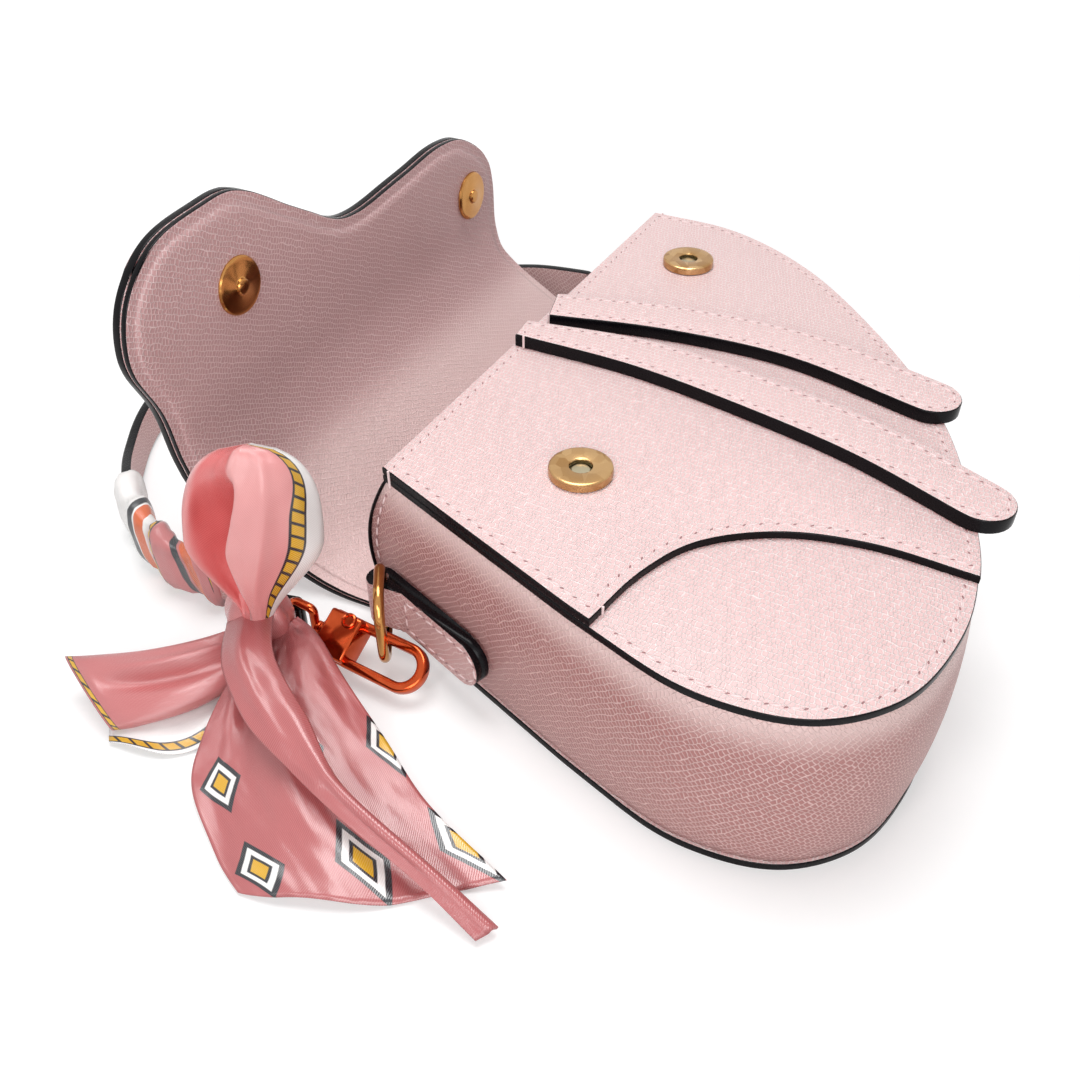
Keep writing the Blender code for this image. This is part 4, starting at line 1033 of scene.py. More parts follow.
def wire_ring(path, wire):
    """A closed round wire along a path in its own plane."""
    bm = bmesh.new()
    sides = 18
    count = len(path)
    first, edges, order = None, None, None
    for k in range(count):
        way = (path[(k + 1) % count] - path[k - 1]).normalized()
        across = Vector((way.y, -way.x, 0))
        turns = [2 * math.pi * i / sides for i in range(sides)]
        places = [path[k] + (across * math.cos(t) + UPRIGHT * math.sin(t)) * wire / 2 for t in turns]
        fresh = [bm.verts.new(p) for p in places]
        if order:
            for i in range(sides):
                bm.faces.new((order[i], order[(i + 1) % sides], fresh[(i + 1) % sides], fresh[i]))
        else:
            first = fresh
        order = fresh
    for i in range(sides):
        bm.faces.new((order[i], order[(i + 1) % sides], first[(i + 1) % sides], first[i]))
    bmesh.ops.recalc_face_normals(bm, faces=bm.faces[:])
    return bm


for side in SIDES:
    bar = Vector(JOINTS[f"d_ring_swing_{side}"]["pos_m"])
    low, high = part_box(f"d_ring_{side}")
    middle = Vector(((low[0] + high[0]) / 2, (low[1] + high[1]) / 2, bar.z))
    frame = axes_frame(bar, middle - bar, UPRIGHT)
    ring = dressed(f"d_ring_{side}_wire", wire_ring(d_path(RING_REACH, RING_HALF, 8 * MM, 2.7 * MM), RING_WIRE), frame,
                   GOLD, f"d_ring_{side}", f"d_ring_{side}")
    loop = wire_ring(d_path(EYE_REACH, EYE_HALF, 4.2 * MM, 1.6 * MM), EYE_WIRE)
    stand = Matrix.Translation((0, EYE_START + EYE_WIRE / 2, 0)) @ Matrix(((0, 0, 1), (1, 0, 0), (0, 1, 0))).to_4x4()
    bmesh.ops.transform(loop, matrix=stand, verts=loop.verts[:])
    post = spun([(0.0, 0.0), (1.7, 0.0), (1.7, 7.6), (2.1, 8.6), (2.1, 9.6), (0.0, 10.2)],
                Vector((0, BODY_END - 6.0 * MM, 0)), (0, 1, 0))
    dressed(f"swivel_{side}_eye", joined([loop, post]), hook_frame(side, 0.0), COPPER, "purse", f"swivel_eye_{side}")
    print(ring.name, len(ring.data.polygons), "faces")

# %% [markdown]
# The tabs and the strap's folded ends keep the form of their solids. Rounding the sharp edges of a merged copy
# is enough. Faces that look out from the bag are grain, and the cut sides are painted.

# %% Tabs and strap ends
TAB_LIP = 0.7 * MM
FLARE = 9 * MM


def rounded_copy(node, lip, sharp_over):
    bm = merged_copy(node)
    edges = [e for e in bm.edges if len(e.link_faces) == 2 and e.calc_face_angle() > math.radians(sharp_over)]
    bmesh.ops.bevel(bm, geom=edges, offset=lip, affect="EDGES", segments=3, profile=0.5, clamp_overlap=True,
                    material=-1)
    bm.normal_update()
    return bm


def groove(bm, middle, across, half, depth):
    """A fine groove along the painted sides, where two leather layers meet."""
    for share in (-1.0, -0.4, 0.4, 1.0):
        geom = bm.verts[:] + bm.edges[:] + bm.faces[:]
        bmesh.ops.bisect_plane(bm, geom=geom, dist=0.001 * MM, plane_co=middle + across * (half * share),
                               plane_no=across)
    bm.normal_update()
    for vert in bm.verts:
        if abs((vert.co - middle).dot(across)) < half * 0.6:
            vert.co -= vert.normal * depth


for side in SIDES:
    tip, way = hook_line(side)
    for node in (f"side_tab_{side}", f"strap_end_{side}"):
        bm = rounded_copy(node, TAB_LIP, 50)
        low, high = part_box(node)
        end = (Vector(low) + Vector(high)) / 2
        bar = Vector(JOINTS[f"d_ring_swing_{side}"]["pos_m"]) if node.startswith("side") else tip
        along = (end - bar) if node.startswith("side") else way
        along = Vector((along.x, along.y, 0)).normalized()
        across = along.cross(UPRIGHT)
        if node.startswith("strap"):
            tail = max((v.co - bar).dot(along) for v in bm.verts)
            grow = STRAP_WIDTH / (high[2] - low[2]) - 1
            for vert in bm.verts:
                share = 1 + ease((vert.co - bar).dot(along), tail - FLARE, tail) * grow
                vert.co.z = end.z + (vert.co.z - end.z) * share
            bm.normal_update()
        for f in bm.faces:
            f.material_index = int(abs(f.normal.dot(across)) < 0.72)
        reach = sorted((v.co - bar).dot(across) for v in bm.verts)
        for share in (0.36, 0.66) if node.startswith("side") else (0.5,):
            middle = bar + across * (reach[0] + (reach[-1] - reach[0]) * share)
            groove(bm, middle, across, 0.28 * MM, 0.22 * MM)
        tab = piece(node + "_leather", bm, (STRAP_LEATHER, PAINT), "purse",
                    flat=lambda place: ((place - bar).dot(along), place.z))
        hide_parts(node)
        print(tab.name, len(tab.data.polygons), "faces")
for node, finish in [(f"{name}_{side}", STEEL) for side in SIDES for name in (
        "snap_magnet", "socket_washer", "stud_washer", "hook_spring")]:
    NODES[node].data.materials.clear()
    NODES[node].data.materials.append(finish)

# %% [markdown]
# ## The satin scarf
# The scarf is one long strip of printed satin, tied in a bow on the strap. Cloth that is pulled tight into a
# knot keeps its folds, so each part of the bow is a grid shaped by a formula: a line for each edge, drawn
# together, with waves across it. The print is a border and plain shapes on the strip's own flat map.

# %% Satin
PALE = linear("#F4F1EF")
YELLOW = linear("#DDAA24")
ORANGE = linear("#D9632A")
INK = linear("#15161F")
# Painted light and shade: one satin, written lighter for the upright petal and darker for the tails that lie flat; the
# loop's field lies between.
LIT_PETAL_FIELD = (linear("#ECA8A6"), linear("#DA7A7B"))
LOOP = (linear("#CF8180"), linear("#B7585B"))
SHADED_TAIL_FIELD = (linear("#C06D6D"), linear("#A5494D"))
# Painted shade: the deep red of the petal's hollow.
PAINTED_HOLLOW_SHADE = linear("#DA5150")
MOTIF_CELL = (26 * MM, 34 * MM)


def satin(name, field, border_at=None, border_end=None, motif_from=None, hollow_shade=None, wound=False):
    """Printed satin: a plain field, with a border along or across the strip, lozenges, or bands round a coil, and
    painted shade in a hollow.
    """
    finish = Finish(name, Specular_IOR_Level=1.0, Sheen_Weight=0.06, Sheen_Roughness=0.35)
    flat = finish.surface()
    across, along, _ = finish.split(flat)
    weave = finish.make("ShaderNodeTexWave", {"wave_type": "BANDS", "bands_direction": "DIAGONAL"},
                        {"Vector": flat, "Scale": 1000.0, "Distortion": 1.5, "Detail": 1.0})
    cloud = finish.noise(flat, 70.0, 2.0)
    colour = finish.mix(weave * 0.3 + cloud * 0.5, *field)
    # Painted shade: a deeper red across the strip where the petal's hollow between its two layers lies.
    if hollow_shade:
        inside = across.step(hollow_shade[0], hollow_shade[0] + 5 * MM) * (1 - across.step(hollow_shade[1] - 5 * MM, hollow_shade[1]))
        colour = finish.mix(inside * 0.75, colour, PAINTED_HOLLOW_SHADE)
    edge = None
    if wound:
        slant = (along * 1.0 + across * 0.45) / (25 * MM)
        turn = slant.math("FRACT", slant)
        colour = finish.mix(along.step(26 * MM, 32 * MM), colour, PALE)
        plain = along.step(46 * MM, 48 * MM)
        colour = finish.mix(turn.step(0.60, 0.62) * (1 - turn.step(0.80, 0.82)) * (1 - plain), colour, ORANGE)
        colour = finish.mix(turn.step(0.84, 0.86) * (1 - turn.step(0.95, 0.97)) * (1 - plain), colour, INK)
        edge = (turn - 0.30) * (25 * MM) + plain
    elif border_at is not None:
        edge = across - along * 0.05 - border_at
        colour = finish.mix(edge.step(0, 0.3 * MM), colour, PALE)
    elif border_end is not None:
        edge = along - border_end
        across, along = along, across
    if edge:
        beats = along / (4.4 * MM) + across / (7.0 * MM)
        beat = beats.math("FRACT", beats) - 0.5
        middle = edge.math("ABSOLUTE", edge - 1.7 * MM)
        colour = finish.mix(1 - middle.step(1.6 * MM, 1.8 * MM), colour, INK)
        gaps = 1 - beat.math("ABSOLUTE", beat).step(0.34, 0.42)
        colour = finish.mix((1 - middle.step(1.1 * MM, 1.3 * MM)) * gaps, colour, YELLOW)
    if motif_from is not None:
        column, row = across / MOTIF_CELL[0] + 0.15, along / MOTIF_CELL[1] + 0.35
        x, y = column.math("FRACT", column) - 0.5, row.math("FRACT", row) - 0.5
        size = x.math("ABSOLUTE", x) * 1.35 + y.math("ABSOLUTE", y) + (cloud - 0.5) * 0.08
        part = along.step(motif_from, motif_from + 3 * MM)
        for reach, ink in ((0.34, INK), (0.26, PALE), (0.17, INK), (0.12, YELLOW)):
            colour = finish.mix((1 - size.step(reach, reach + 0.015)) * part, colour, ink)
    folds = finish.noise(finish.turn(flat, 0.2, (1, 0.45, 1)), 75.0, 1.5)
    relief = finish.bump(weave * 0.03 + cloud * 0.06 + folds * 3.4, 1.0 * MM)
    return finish.link(Base_Color=colour, Roughness=0.17 + weave * 0.08 + cloud * 0.10, Normal=relief)


SATIN = satin("salmon_satin", LOOP)
SATIN_TAIL = satin("tail_satin", SHADED_TAIL_FIELD)
SATIN_EDGED = satin("bordered_satin", LIT_PETAL_FIELD, border_at=49.5 * MM, hollow_shade=(3 * MM, 31 * MM))
SATIN_END = satin("end_bordered_satin", LOOP, border_end=45.5 * MM)
SATIN_PRINT = satin("printed_satin", SHADED_TAIL_FIELD, motif_from=52 * MM)
SATIN_PALE = satin("pale_satin", (PALE, linear("#E3DCDD")), border_at=18 * MM)
SATIN_WOUND = satin("wound_satin", LOOP, wound=True)
print("satins:", SATIN.name, SATIN_EDGED.name, SATIN_PRINT.name, SATIN_WOUND.name)

# %% Scarf pieces


def scarf_grid(columns, rows, place, size, thickness):
    """A thin sheet: a grid put in place by a function of its two shares, then thickened along its normals."""
    bm = bmesh.new()
    bmesh.ops.create_grid(bm, x_segments=columns, y_segments=rows, size=0.5)
    grain = bm.loops.layers.uv.new("grain")
    for vert in bm.verts:
        u, v = vert.co.x + 0.5, vert.co.y + 0.5
        vert.co = place(u, v)
        for loop in vert.link_loops:
            loop[grain].uv = (u * size[0], v * size[1])
    bmesh.ops.recalc_face_normals(bm, faces=bm.faces[:])
    if sum(f.normal.z * f.calc_area() for f in bm.faces) < 0:
        bmesh.ops.reverse_faces(bm, faces=bm.faces[:])
    bm.normal_update()
    lift = {v: v.normal * thickness for v in bm.verts}
    made = bmesh.ops.extrude_face_region(bm, geom=bm.faces[:], use_keep_orig=True)["geom"]
    fresh = [g for g in made if isinstance(g, bmesh.types.BMVert)]
    tree = {v.co.copy().freeze(): move for v, move in lift.items()}
    for vert in fresh:
        vert.co += tree[vert.co.copy().freeze()]
    bmesh.ops.recalc_face_normals(bm, faces=bm.faces[:])
    return bm


def line_at(points, share):
    """A point on a smooth line at a share of its points."""
    points = [Vector(p) * MM for p in points]
    ends = [2 * points[0] - points[1]] + points + [2 * points[-1] - points[-2]]
    at = min(share * (len(points) - 1), len(points) - 1.0001)
    i, t = int(at), at - int(at)
    p0, p1, p2, p3 = ends[i:i + 4]
    return 0.5 * (2 * p1 + (p2 - p0) * t + (2 * p0 - 5 * p1 + 4 * p2 - p3) * t ** 2
                  + (3 * p1 - p0 - 3 * p2 + p3) * t ** 3)


def cloth(name, bm, material, node):
    sheet = piece(name, bm, (material,), "purse", sharp=0)
    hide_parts(node)
    return sheet


# Edge lines in millimetres in the row frame, from the knot outwards
WIDE_LEFT = [(-117, 99, 15), (-131, 97, 13), (-146, 95, 7.5), (-158, 90, 4), (-169, 74, 2.5), (-178, 59, 1.5)]
WIDE_RIGHT = [(-106, 92, 20), (-109, 83, 18.5), (-116, 69, 15), (-124, 51, 10), (-134, 31, 5), (-143, 3, 1.5)]
NARROW_LEFT = [(-119, 106, 22), (-131, 98, 22), (-138, 89, 20), (-144, 78, 18), (-148, 63, 15.5), (-152, 46, 12.5),
               (-156, 21, 7), (-160, 2, 1.5)]
NARROW_RIGHT = [(-111, 96, 25), (-123, 87, 24.5), (-130, 77, 22), (-136, 66, 20), (-144, 54, 17), (-148, 43, 14),
                (-152, 18, 7.5), (-155, -1, 1.5)]


def wide_tail(u, v):
    left, right = line_at(WIDE_LEFT, v), line_at(WIDE_RIGHT, v)
    place = left.lerp(right, u)
    swell = math.sin(math.pi * u) * (1 - v) * v * 4
    wave = math.sin(2 * math.pi * (1.2 * u + 0.9 * v)) * min(1, 4 * v)
    crease = math.exp(-((u - 0.16 - 0.10 * v) / 0.06) ** 2) * math.sin(math.pi * min(1, v / 0.62))
    corner = max(0, 1 - u / 0.16) * max(0, (v - 0.84) / 0.16)
    droop = v ** 6 * (math.sin(math.pi * u) - 0.25 * math.sin(3 * math.pi * u)) * 2.6 * MM
    droop -= corner ** 1.5 * 2.2 * MM
    place += Vector((-droop, -droop * 0.6, (3.6 * swell + 1.9 * wave + 2.6 * crease) * MM))
    place.z = max(place.z, 0.6 * MM)
    return place


def narrow_tail(u, v):
    left, right = line_at(NARROW_LEFT, v), line_at(NARROW_RIGHT, v)
    place = left.lerp(right, u)
    hem = math.exp(-((u - 0.80) / 0.16) ** 2) * ease(v, 0.15, 0.45) * (1 - 0.5 * v)
    crown = math.sin(math.pi * u) * (1 - v) * 2.2
    pleat = math.exp(-((u - 0.35) / 0.10) ** 2) * math.sin(math.pi * min(1, v / 0.5))
    place.z += (crown + 1.6 * hem + 1.0 * pleat) * MM
    place.z = max(place.z, 0.6 * MM)
    return place


WIDE_SIZE, NARROW_SIZE = (62 * MM, 118 * MM), (11 * MM, 112 * MM)
cloth("scarf_wide_tail", scarf_grid(60, 70, wide_tail, WIDE_SIZE, 0.5 * MM), SATIN_PRINT, "scarf_tail_wide")
cloth("scarf_narrow_tail", scarf_grid(24, 80, narrow_tail, NARROW_SIZE, 0.9 * MM), SATIN_TAIL,
      "scarf_tail_narrow")

# %% [markdown]
# The loops are bands that go up and come back, so their sections are closed curves. Carrying a section up the
# loop while it opens and closes gives the petal; a fold in the section leaves the hollow between its two layers.

# %% Scarf loops
PETAL_FOOT = Vector((-114.5, 99.0, 22.0)) * MM
PETAL_TOP = Vector((-107.5, 96.0, 80.5)) * MM
PETAL_ACROSS = Vector((0.469, -0.883, 0))
PETAL_BACK = Vector((0.76, 0.40, -0.51))
# Half of a section goes round the front and half round the back, in shares of the half width and the half depth
PLAIN_SECTION = [(-1.0, 0.0), (-0.86, -0.50), (-0.62, -0.78), (-0.44, -0.90), (-0.34, -0.94), (-0.26, -0.97),
                 (-0.10, -1.0), (0.22, -0.98), (0.56, -0.83), (0.86, -0.48), (1.0, 0.0), (0.78, 0.60), (0.25, 0.95),
                 (-0.40, 0.90), (-0.85, 0.50)]
FOLDED_SECTION = [(-1.0, -0.25), (-0.90, -0.22), (-0.62, 0.20), (-0.30, 0.42), (-0.12, 0.20), (-0.16, -0.40),
                  (-0.30, -0.95), (-0.05, -1.18), (0.34, -0.98), (0.78, -0.62), (1.0, 0.0), (0.78, 0.60), (0.25, 0.95),
                  (-0.40, 0.90), (-0.88, 0.45)]


def closed_line(points, count):
    """Points spread by share along a smooth closed curve."""
    found = []
    total = len(points)
    for k in range(count):
        at = k / count * total
        i, t = int(at), at - int(at)
        p0, p1, p2, p3 = (Vector((*points[(i + j) % total], 0)) for j in (-1, 0, 1, 2))
        found.append(0.5 * (2 * p1 + (p2 - p0) * t + (2 * p0 - 5 * p1 + 4 * p2 - p3) * t ** 2
                            + (3 * p1 - p0 - 3 * p2 + p3) * t ** 3))
    return found


def lofted(sections, size):
    """A closed body through closed sections, with its ends drawn together, and a flat map round and along."""
    bm = bmesh.new()
    grain = bm.loops.layers.uv.new("grain")
    rows = [[bm.verts.new(p) for p in section] for section in sections]
    count = len(rows[0])
    for j, (low, high) in enumerate(zip(rows, rows[1:])):
        for i in range(count):
            face = bm.faces.new((low[i], low[(i + 1) % count], high[(i + 1) % count], high[i]))
            shares = ((i, j), (i + 1, j), (i + 1, j + 1), (i, j + 1))
            for loop, (a, b) in zip(face.loops, shares):
                loop[grain].uv = (a / count * size[0], b / (len(rows) - 1) * size[1])
    for end in (rows[0], rows[-1]):
        bm.faces.new(end)
    bmesh.ops.recalc_face_normals(bm, faces=bm.faces[:])
    return bm


def petal_section(v):
    """The upper loop's section at a share of its height."""
    wide = (0.22 + 0.78 * ease(v, 0.0, 0.50)) * (1 - v ** 7) ** 0.5 if v < 1 else 0.02
    fold = ease(v, 0.02, 0.22) * (1 - ease(v, 0.62, 0.90))
    plain, folded = closed_line(PLAIN_SECTION, 96), closed_line(FOLDED_SECTION, 96)
    middle = PETAL_FOOT.lerp(PETAL_TOP, v) + PETAL_ACROSS * (math.sin(math.pi * v) * 0.5 * MM)
    section = []
    for k, (a, b) in enumerate(zip(plain, folded)):
        p = a.lerp(b, fold)
        near_fold = math.exp(-((k / len(plain) * len(PLAIN_SECTION) - 4.6) / 1.5) ** 2)
        p.x += near_fold * fold * (0.42 * ease(v, 0.40, 0.72) - 0.06)
        ridge = math.exp(-((p.x - 0.42 + 0.35 * (1 - v)) / 0.10) ** 2) * (p.y < 0) * 0.16 * math.sin(math.pi * v)
        section.append(middle + PETAL_ACROSS * (p.x * wide * 18.5 * MM)
                       + PETAL_BACK * ((p.y - ridge) * (0.35 + 0.65 * wide) * 9.5 * MM))
    return section


PETAL_SIZE = (90 * MM, 62 * MM)
petal = lofted([petal_section(k / 40) for k in range(41)], PETAL_SIZE)
cloth("scarf_upper_loop", petal, SATIN_EDGED, "scarf_loop_upper")

# The left loop lies flat: its upper and lower edges run out from the knot to a slanting end
LEFT_HIGH = [(-115, 106, 18), (-125, 113, 18), (-134, 125, 16), (-141, 140, 13), (-144, 147, 12)]
LEFT_LOW = [(-117, 99, 10), (-129, 99, 9.5), (-140, 105, 7.5), (-150, 116, 5), (-154, 122, 4)]


def left_section(v):
    high, low = line_at(LEFT_HIGH, v), line_at(LEFT_LOW, v)
    middle, half = (high + low) / 2, (high - low) / 2
    side = half.cross((line_at(LEFT_HIGH, min(v + 0.05, 1)) - line_at(LEFT_HIGH, max(v - 0.05, 0)))).normalized()
    if side.z < 0:
        side = -side
    full = (2.2 + 3.0 * math.sin(math.pi * min(1.0, v * 0.9 + 0.05))) * MM
    section = []
    for k in range(64):
        turn = 2 * math.pi * k / 64
        c, s = math.cos(turn), math.sin(turn)
        dip = math.exp(-((c + 0.25 - 0.4 * v) / 0.24) ** 2) * math.sin(math.pi * min(1, 1.2 * v))
        fold = math.exp(-((c - 0.35 - 0.3 * v) / 0.12) ** 2) * math.sin(math.pi * min(1, 1.5 * v))
        reach = math.copysign(abs(s) ** 0.8, s) + (0.35 * fold - 0.85 * dip) * (s > 0)
        section.append(middle + half * c + side * (full * reach))
    return section


LEFT_SIZE = (62 * MM, 50 * MM)
left = lofted([left_section(k / 36) for k in range(37)], LEFT_SIZE)
cloth("scarf_left_loop", left, SATIN_END, "scarf_loop_left")
UNDER_HIGH = [(-121, 108, 8), (-131, 114, 7.5), (-141, 122, 5.5), (-147, 130, 4)]
UNDER_LOW = [(-125, 96, 3), (-140, 96, 2.2), (-152, 105, 1.2), (-156, 122, 1.0)]


def under_layer(u, v):
    place = line_at(UNDER_HIGH, v).lerp(line_at(UNDER_LOW, v), u)
    place.z += 1.2 * MM * math.sin(3 * math.pi * v) * u
    place.z = max(place.z, 0.5 * MM)
    return place


UNDER_SIZE = (24 * MM, 46 * MM)
under = cloth("scarf_left_under", scarf_grid(24, 40, under_layer, UNDER_SIZE, 0.5 * MM), SATIN_PALE,
              "scarf_loop_left")

# %% Knot and wrap
KNOT_MIDDLE = Vector((-110.5, 102.5, 19.0)) * MM
KNOT_AXES = Vector((9.0, 10.0, 11.5)) * MM


def knot_section(v):
    """A soft ball with pleats that run through the knot."""
    rise = math.cos(math.pi * v)
    wide = max(0.02, math.sin(math.pi * v)) ** 0.8
    section = []
    for k in range(72):
        turn = 2 * math.pi * k / 72
        pleat = 1 + 0.05 * math.sin(7 * turn + 2.0 * v)
        section.append(KNOT_MIDDLE + Vector((KNOT_AXES.x * wide * pleat * math.cos(turn),
                                             KNOT_AXES.y * wide * pleat * math.sin(turn), KNOT_AXES.z * rise)))
    return section


KNOT_SIZE = (60 * MM, 30 * MM)
cloth("scarf_knot_folds", lofted([knot_section(k / 24) for k in range(25)], KNOT_SIZE), SATIN, "scarf_knot")
WRAP_START, WRAP_END = 9 * MM, 74 * MM
WRAP_TURNS = 3.7
wrap_route, travelled = [], 0.0
for a, b in zip(strap_route, strap_route[1:]):
    travelled += (b - a).length
    if WRAP_START < travelled < WRAP_END:
        wrap_route.append(b)


def wrap_section(k):
    """The band wound round the strap: the section grows along each turn, and steps down at the next."""
    share = k / (len(wrap_route) - 1)
    way = strap_ways(wrap_route)[k]
    across = Vector((way.y, -way.x, 0)).normalized()
    section = []
    for i in range(64):
        turn = 2 * math.pi * i / 64
        phase = (share * WRAP_TURNS + i / 64) % 1.0
        pleat = 0.25 * math.sin(6 * math.pi * phase)
        layer = 1.4 + 1.9 * ease(phase, 0.0, 0.80) * (1 - ease(phase, 0.88, 1.0)) + pleat
        c, s = math.cos(turn), math.sin(turn)
        wide = (1.7 * MM + layer * MM) * math.copysign(abs(c) ** 0.7, c)
        tall = (7.0 * MM + layer * MM) * math.copysign(abs(s) ** 0.7, s)
        place = wrap_route[k] + across * wide + UPRIGHT * tall
        place.z = max(place.z, 0.3 * MM)
        section.append(place)
    return section


WRAP_SIZE = (46 * MM, WRAP_END - WRAP_START)
cloth("scarf_wrap_turns", lofted([wrap_section(k) for k in range(len(wrap_route))], WRAP_SIZE), SATIN_WOUND,
      "scarf_wrap")

# %% [markdown]
# ## Stitches
# A seam is a row of short threads with a needle hole between them, a small dark mark of painted shade. All the stitches
# of a seam are copies of one small shape in one mesh. The seams run inside the edges that the outlines give, and a few
# single threads cross the painted edges where a seam starts or ends.

# %% Stitch helpers
STITCH_PITCH = 4.4 * MM
STITCH_SIZE = Vector((3.3, 0.66, 0.5)) * MM
HOLE_SIZE = Vector((0.62, 0.26, 0.14)) * MM
STITCH_SLANT = math.radians(6)
HOLE_SLANT = math.radians(28)


def spaced(line, pitch):
    """Places and ways at even steps along a line of points."""
    length = sum((b - a).length for a, b in zip(line, line[1:]))
    count = max(1, round(length / pitch))
    found, i, run = [], 0, 0.0
    for k in range(count):
        wanted = (k + 0.5) * length / count
        while run + (line[i + 1] - line[i]).length < wanted:
            run += (line[i + 1] - line[i]).length
            i += 1
        way = (line[i + 1] - line[i]).normalized()
        found.append((line[i] + way * (wanted - run), way))
    return found


def stitch_shape():
    """One thread and the needle hole after it, a dark mark of painted shade, along X with Z outwards."""
    bm = bmesh.new()
    slanted = Matrix.Rotation(STITCH_SLANT, 4, "Z") @ Matrix.Diagonal((*STITCH_SIZE, 1))
    bmesh.ops.create_uvsphere(bm, u_segments=8, v_segments=4, radius=0.5, matrix=slanted)
    thread_faces = set(bm.faces)
    after = Matrix.Translation((STITCH_PITCH / 2, 0, 0)) @ Matrix.Rotation(HOLE_SLANT, 4, "Z")
    after = after @ Matrix.Diagonal((*HOLE_SIZE, 1))
    bmesh.ops.create_uvsphere(bm, u_segments=8, v_segments=4, radius=1.0, matrix=after)
    for f in bm.faces:
        f.material_index = int(f not in thread_faces)
    mesh = bpy.data.meshes.new("stitch")
    bm.to_mesh(mesh)
    bm.free()
    return mesh


STITCH = stitch_shape()


def stitches(name, seams, body="purse"):
    """Threads and holes along seams, each a line with the outward direction of its surface."""
    bm = bmesh.new()
    total = 0
    for line, outward in seams:
        for place, way in spaced(line, STITCH_PITCH):
            side = outward.cross(way).normalized()
            lie = Matrix((way, side, way.cross(side))).transposed().to_4x4()
            copy = STITCH.copy()
            copy.transform(Matrix.Translation(place) @ lie)
            bm.from_mesh(copy)
            bpy.data.meshes.remove(copy)
            total += 1
    print(name, total, "stitches")
    return piece(name, bm, (THREAD, HOLE_SHADE), body, sharp=0)


def inside(point, outline):
    """Whether a point lies inside an outline, in plan."""
    found = False
    for a, b in zip(outline, outline[1:] + outline[:1]):
        if (a.y > point.y) != (b.y > point.y) and point.x < a.x + (b.x - a.x) * (point.y - a.y) / (b.y - a.y):
            found = not found
    return found


def kept_runs(line, keep):
    """The stretches of a line whose points pass a test."""
    runs, run = [], []
    for point in line:
        if keep(point):
            run.append(point)
        elif run:
            runs.append(run)
            run = []
    return [r for r in runs + [run] if len(r) > 3]


def clean_inset(outline, distance):
    """An inset outline without the points that fold back over each other at inner corners."""
    moved = inset_line(outline, distance)
    if not inside(moved[0], outline):
        moved = inset_line(outline, -distance)
    tree = KDTree(len(outline))
    for i, point in enumerate(outline):
        tree.insert(point, i)
    tree.balance()
    return [p for p in moved if tree.find(p)[2] > distance * 0.93]


print("stitch helpers ready")

# %% Seams
SEAM_INSET = 3.1 * MM
overlay_rim = smooth_rim(rim("front_overlay", UP))
overlay_seam = clean_inset(overlay_rim, SEAM_INSET)
panel_seam = clean_inset(FRONT_RIM, SEAM_INSET)
clean_cover = inset_line(overlay_rim, -1.5 * MM)
lobe_runs = kept_runs(panel_seam, lambda p: not inside(p, clean_cover))
stitches("front_seams", [(overlay_seam + overlay_seam[:1], UPRIGHT)] + [(run, UPRIGHT) for run in lobe_runs])
billet_seams = [clean_inset(smooth_rim(rim(f"billet_strap_{side}", UP)), 2.4 * MM) for side in SIDES]
stitches("billet_seams", [(seam + seam[:1], UPRIGHT) for seam in billet_seams])

# %% Mouth, tab and crossing threads
MOUTH_TOP = max(p.y for p in FRONT_RIM)
PANEL_LIP = 0.8 * MM
MOUTH_PUSH = 8.0 * MM
PUSH_REACH = 25 * MM
MOUTH_BEAD = 0.6 * MM
TAB_MIDDLE = 19 * MM
TAB_FACE = 7.75 * MM


def wall_frame(side):
    """The mouth corner, the way out from the wall and the way down it."""
    mouth = [p for p in FRONT_RIM if p.y > MOUTH_TOP - 0.1 * MM]
    corner = (min if side == "near" else max)(mouth, key=lambda p: p.x)
    beside = [p for p in FRONT_RIM if 15 * MM < (p - corner).length < 25 * MM and p.y < corner.y - 5 * MM]
    down = (beside[0] - corner).normalized()
    return corner, down.cross(UPRIGHT) * HANDS[side], down


def on_wall(side, along, z):
    """A place on the gusset's outer face, at a distance down from the mouth, with the bow that it has there."""
    corner, out, down = wall_frame(side)
    plain, rounder = wall_bow(z)
    push = MOUTH_PUSH * max(0, 1 - along / PUSH_REACH)
    place = corner + out * (GUSSET_BULGE * rounder - PANEL_LIP) + down * (along - push * plain)
    return Vector((place.x, place.y, z))


def on_tab(side, along, z):
    corner, out, down = wall_frame(side)
    place = corner + out * TAB_FACE + down * along
    return Vector((place.x, place.y, TAB_MIDDLE + z))


def rod(bm, start, end, radius):
    turn = UPRIGHT.rotation_difference(end - start).to_matrix().to_4x4()
    bmesh.ops.create_cone(bm, cap_ends=True, segments=8, radius1=radius, radius2=radius, depth=(end - start).length,
                          matrix=Matrix.Translation((start + end) / 2) @ turn)


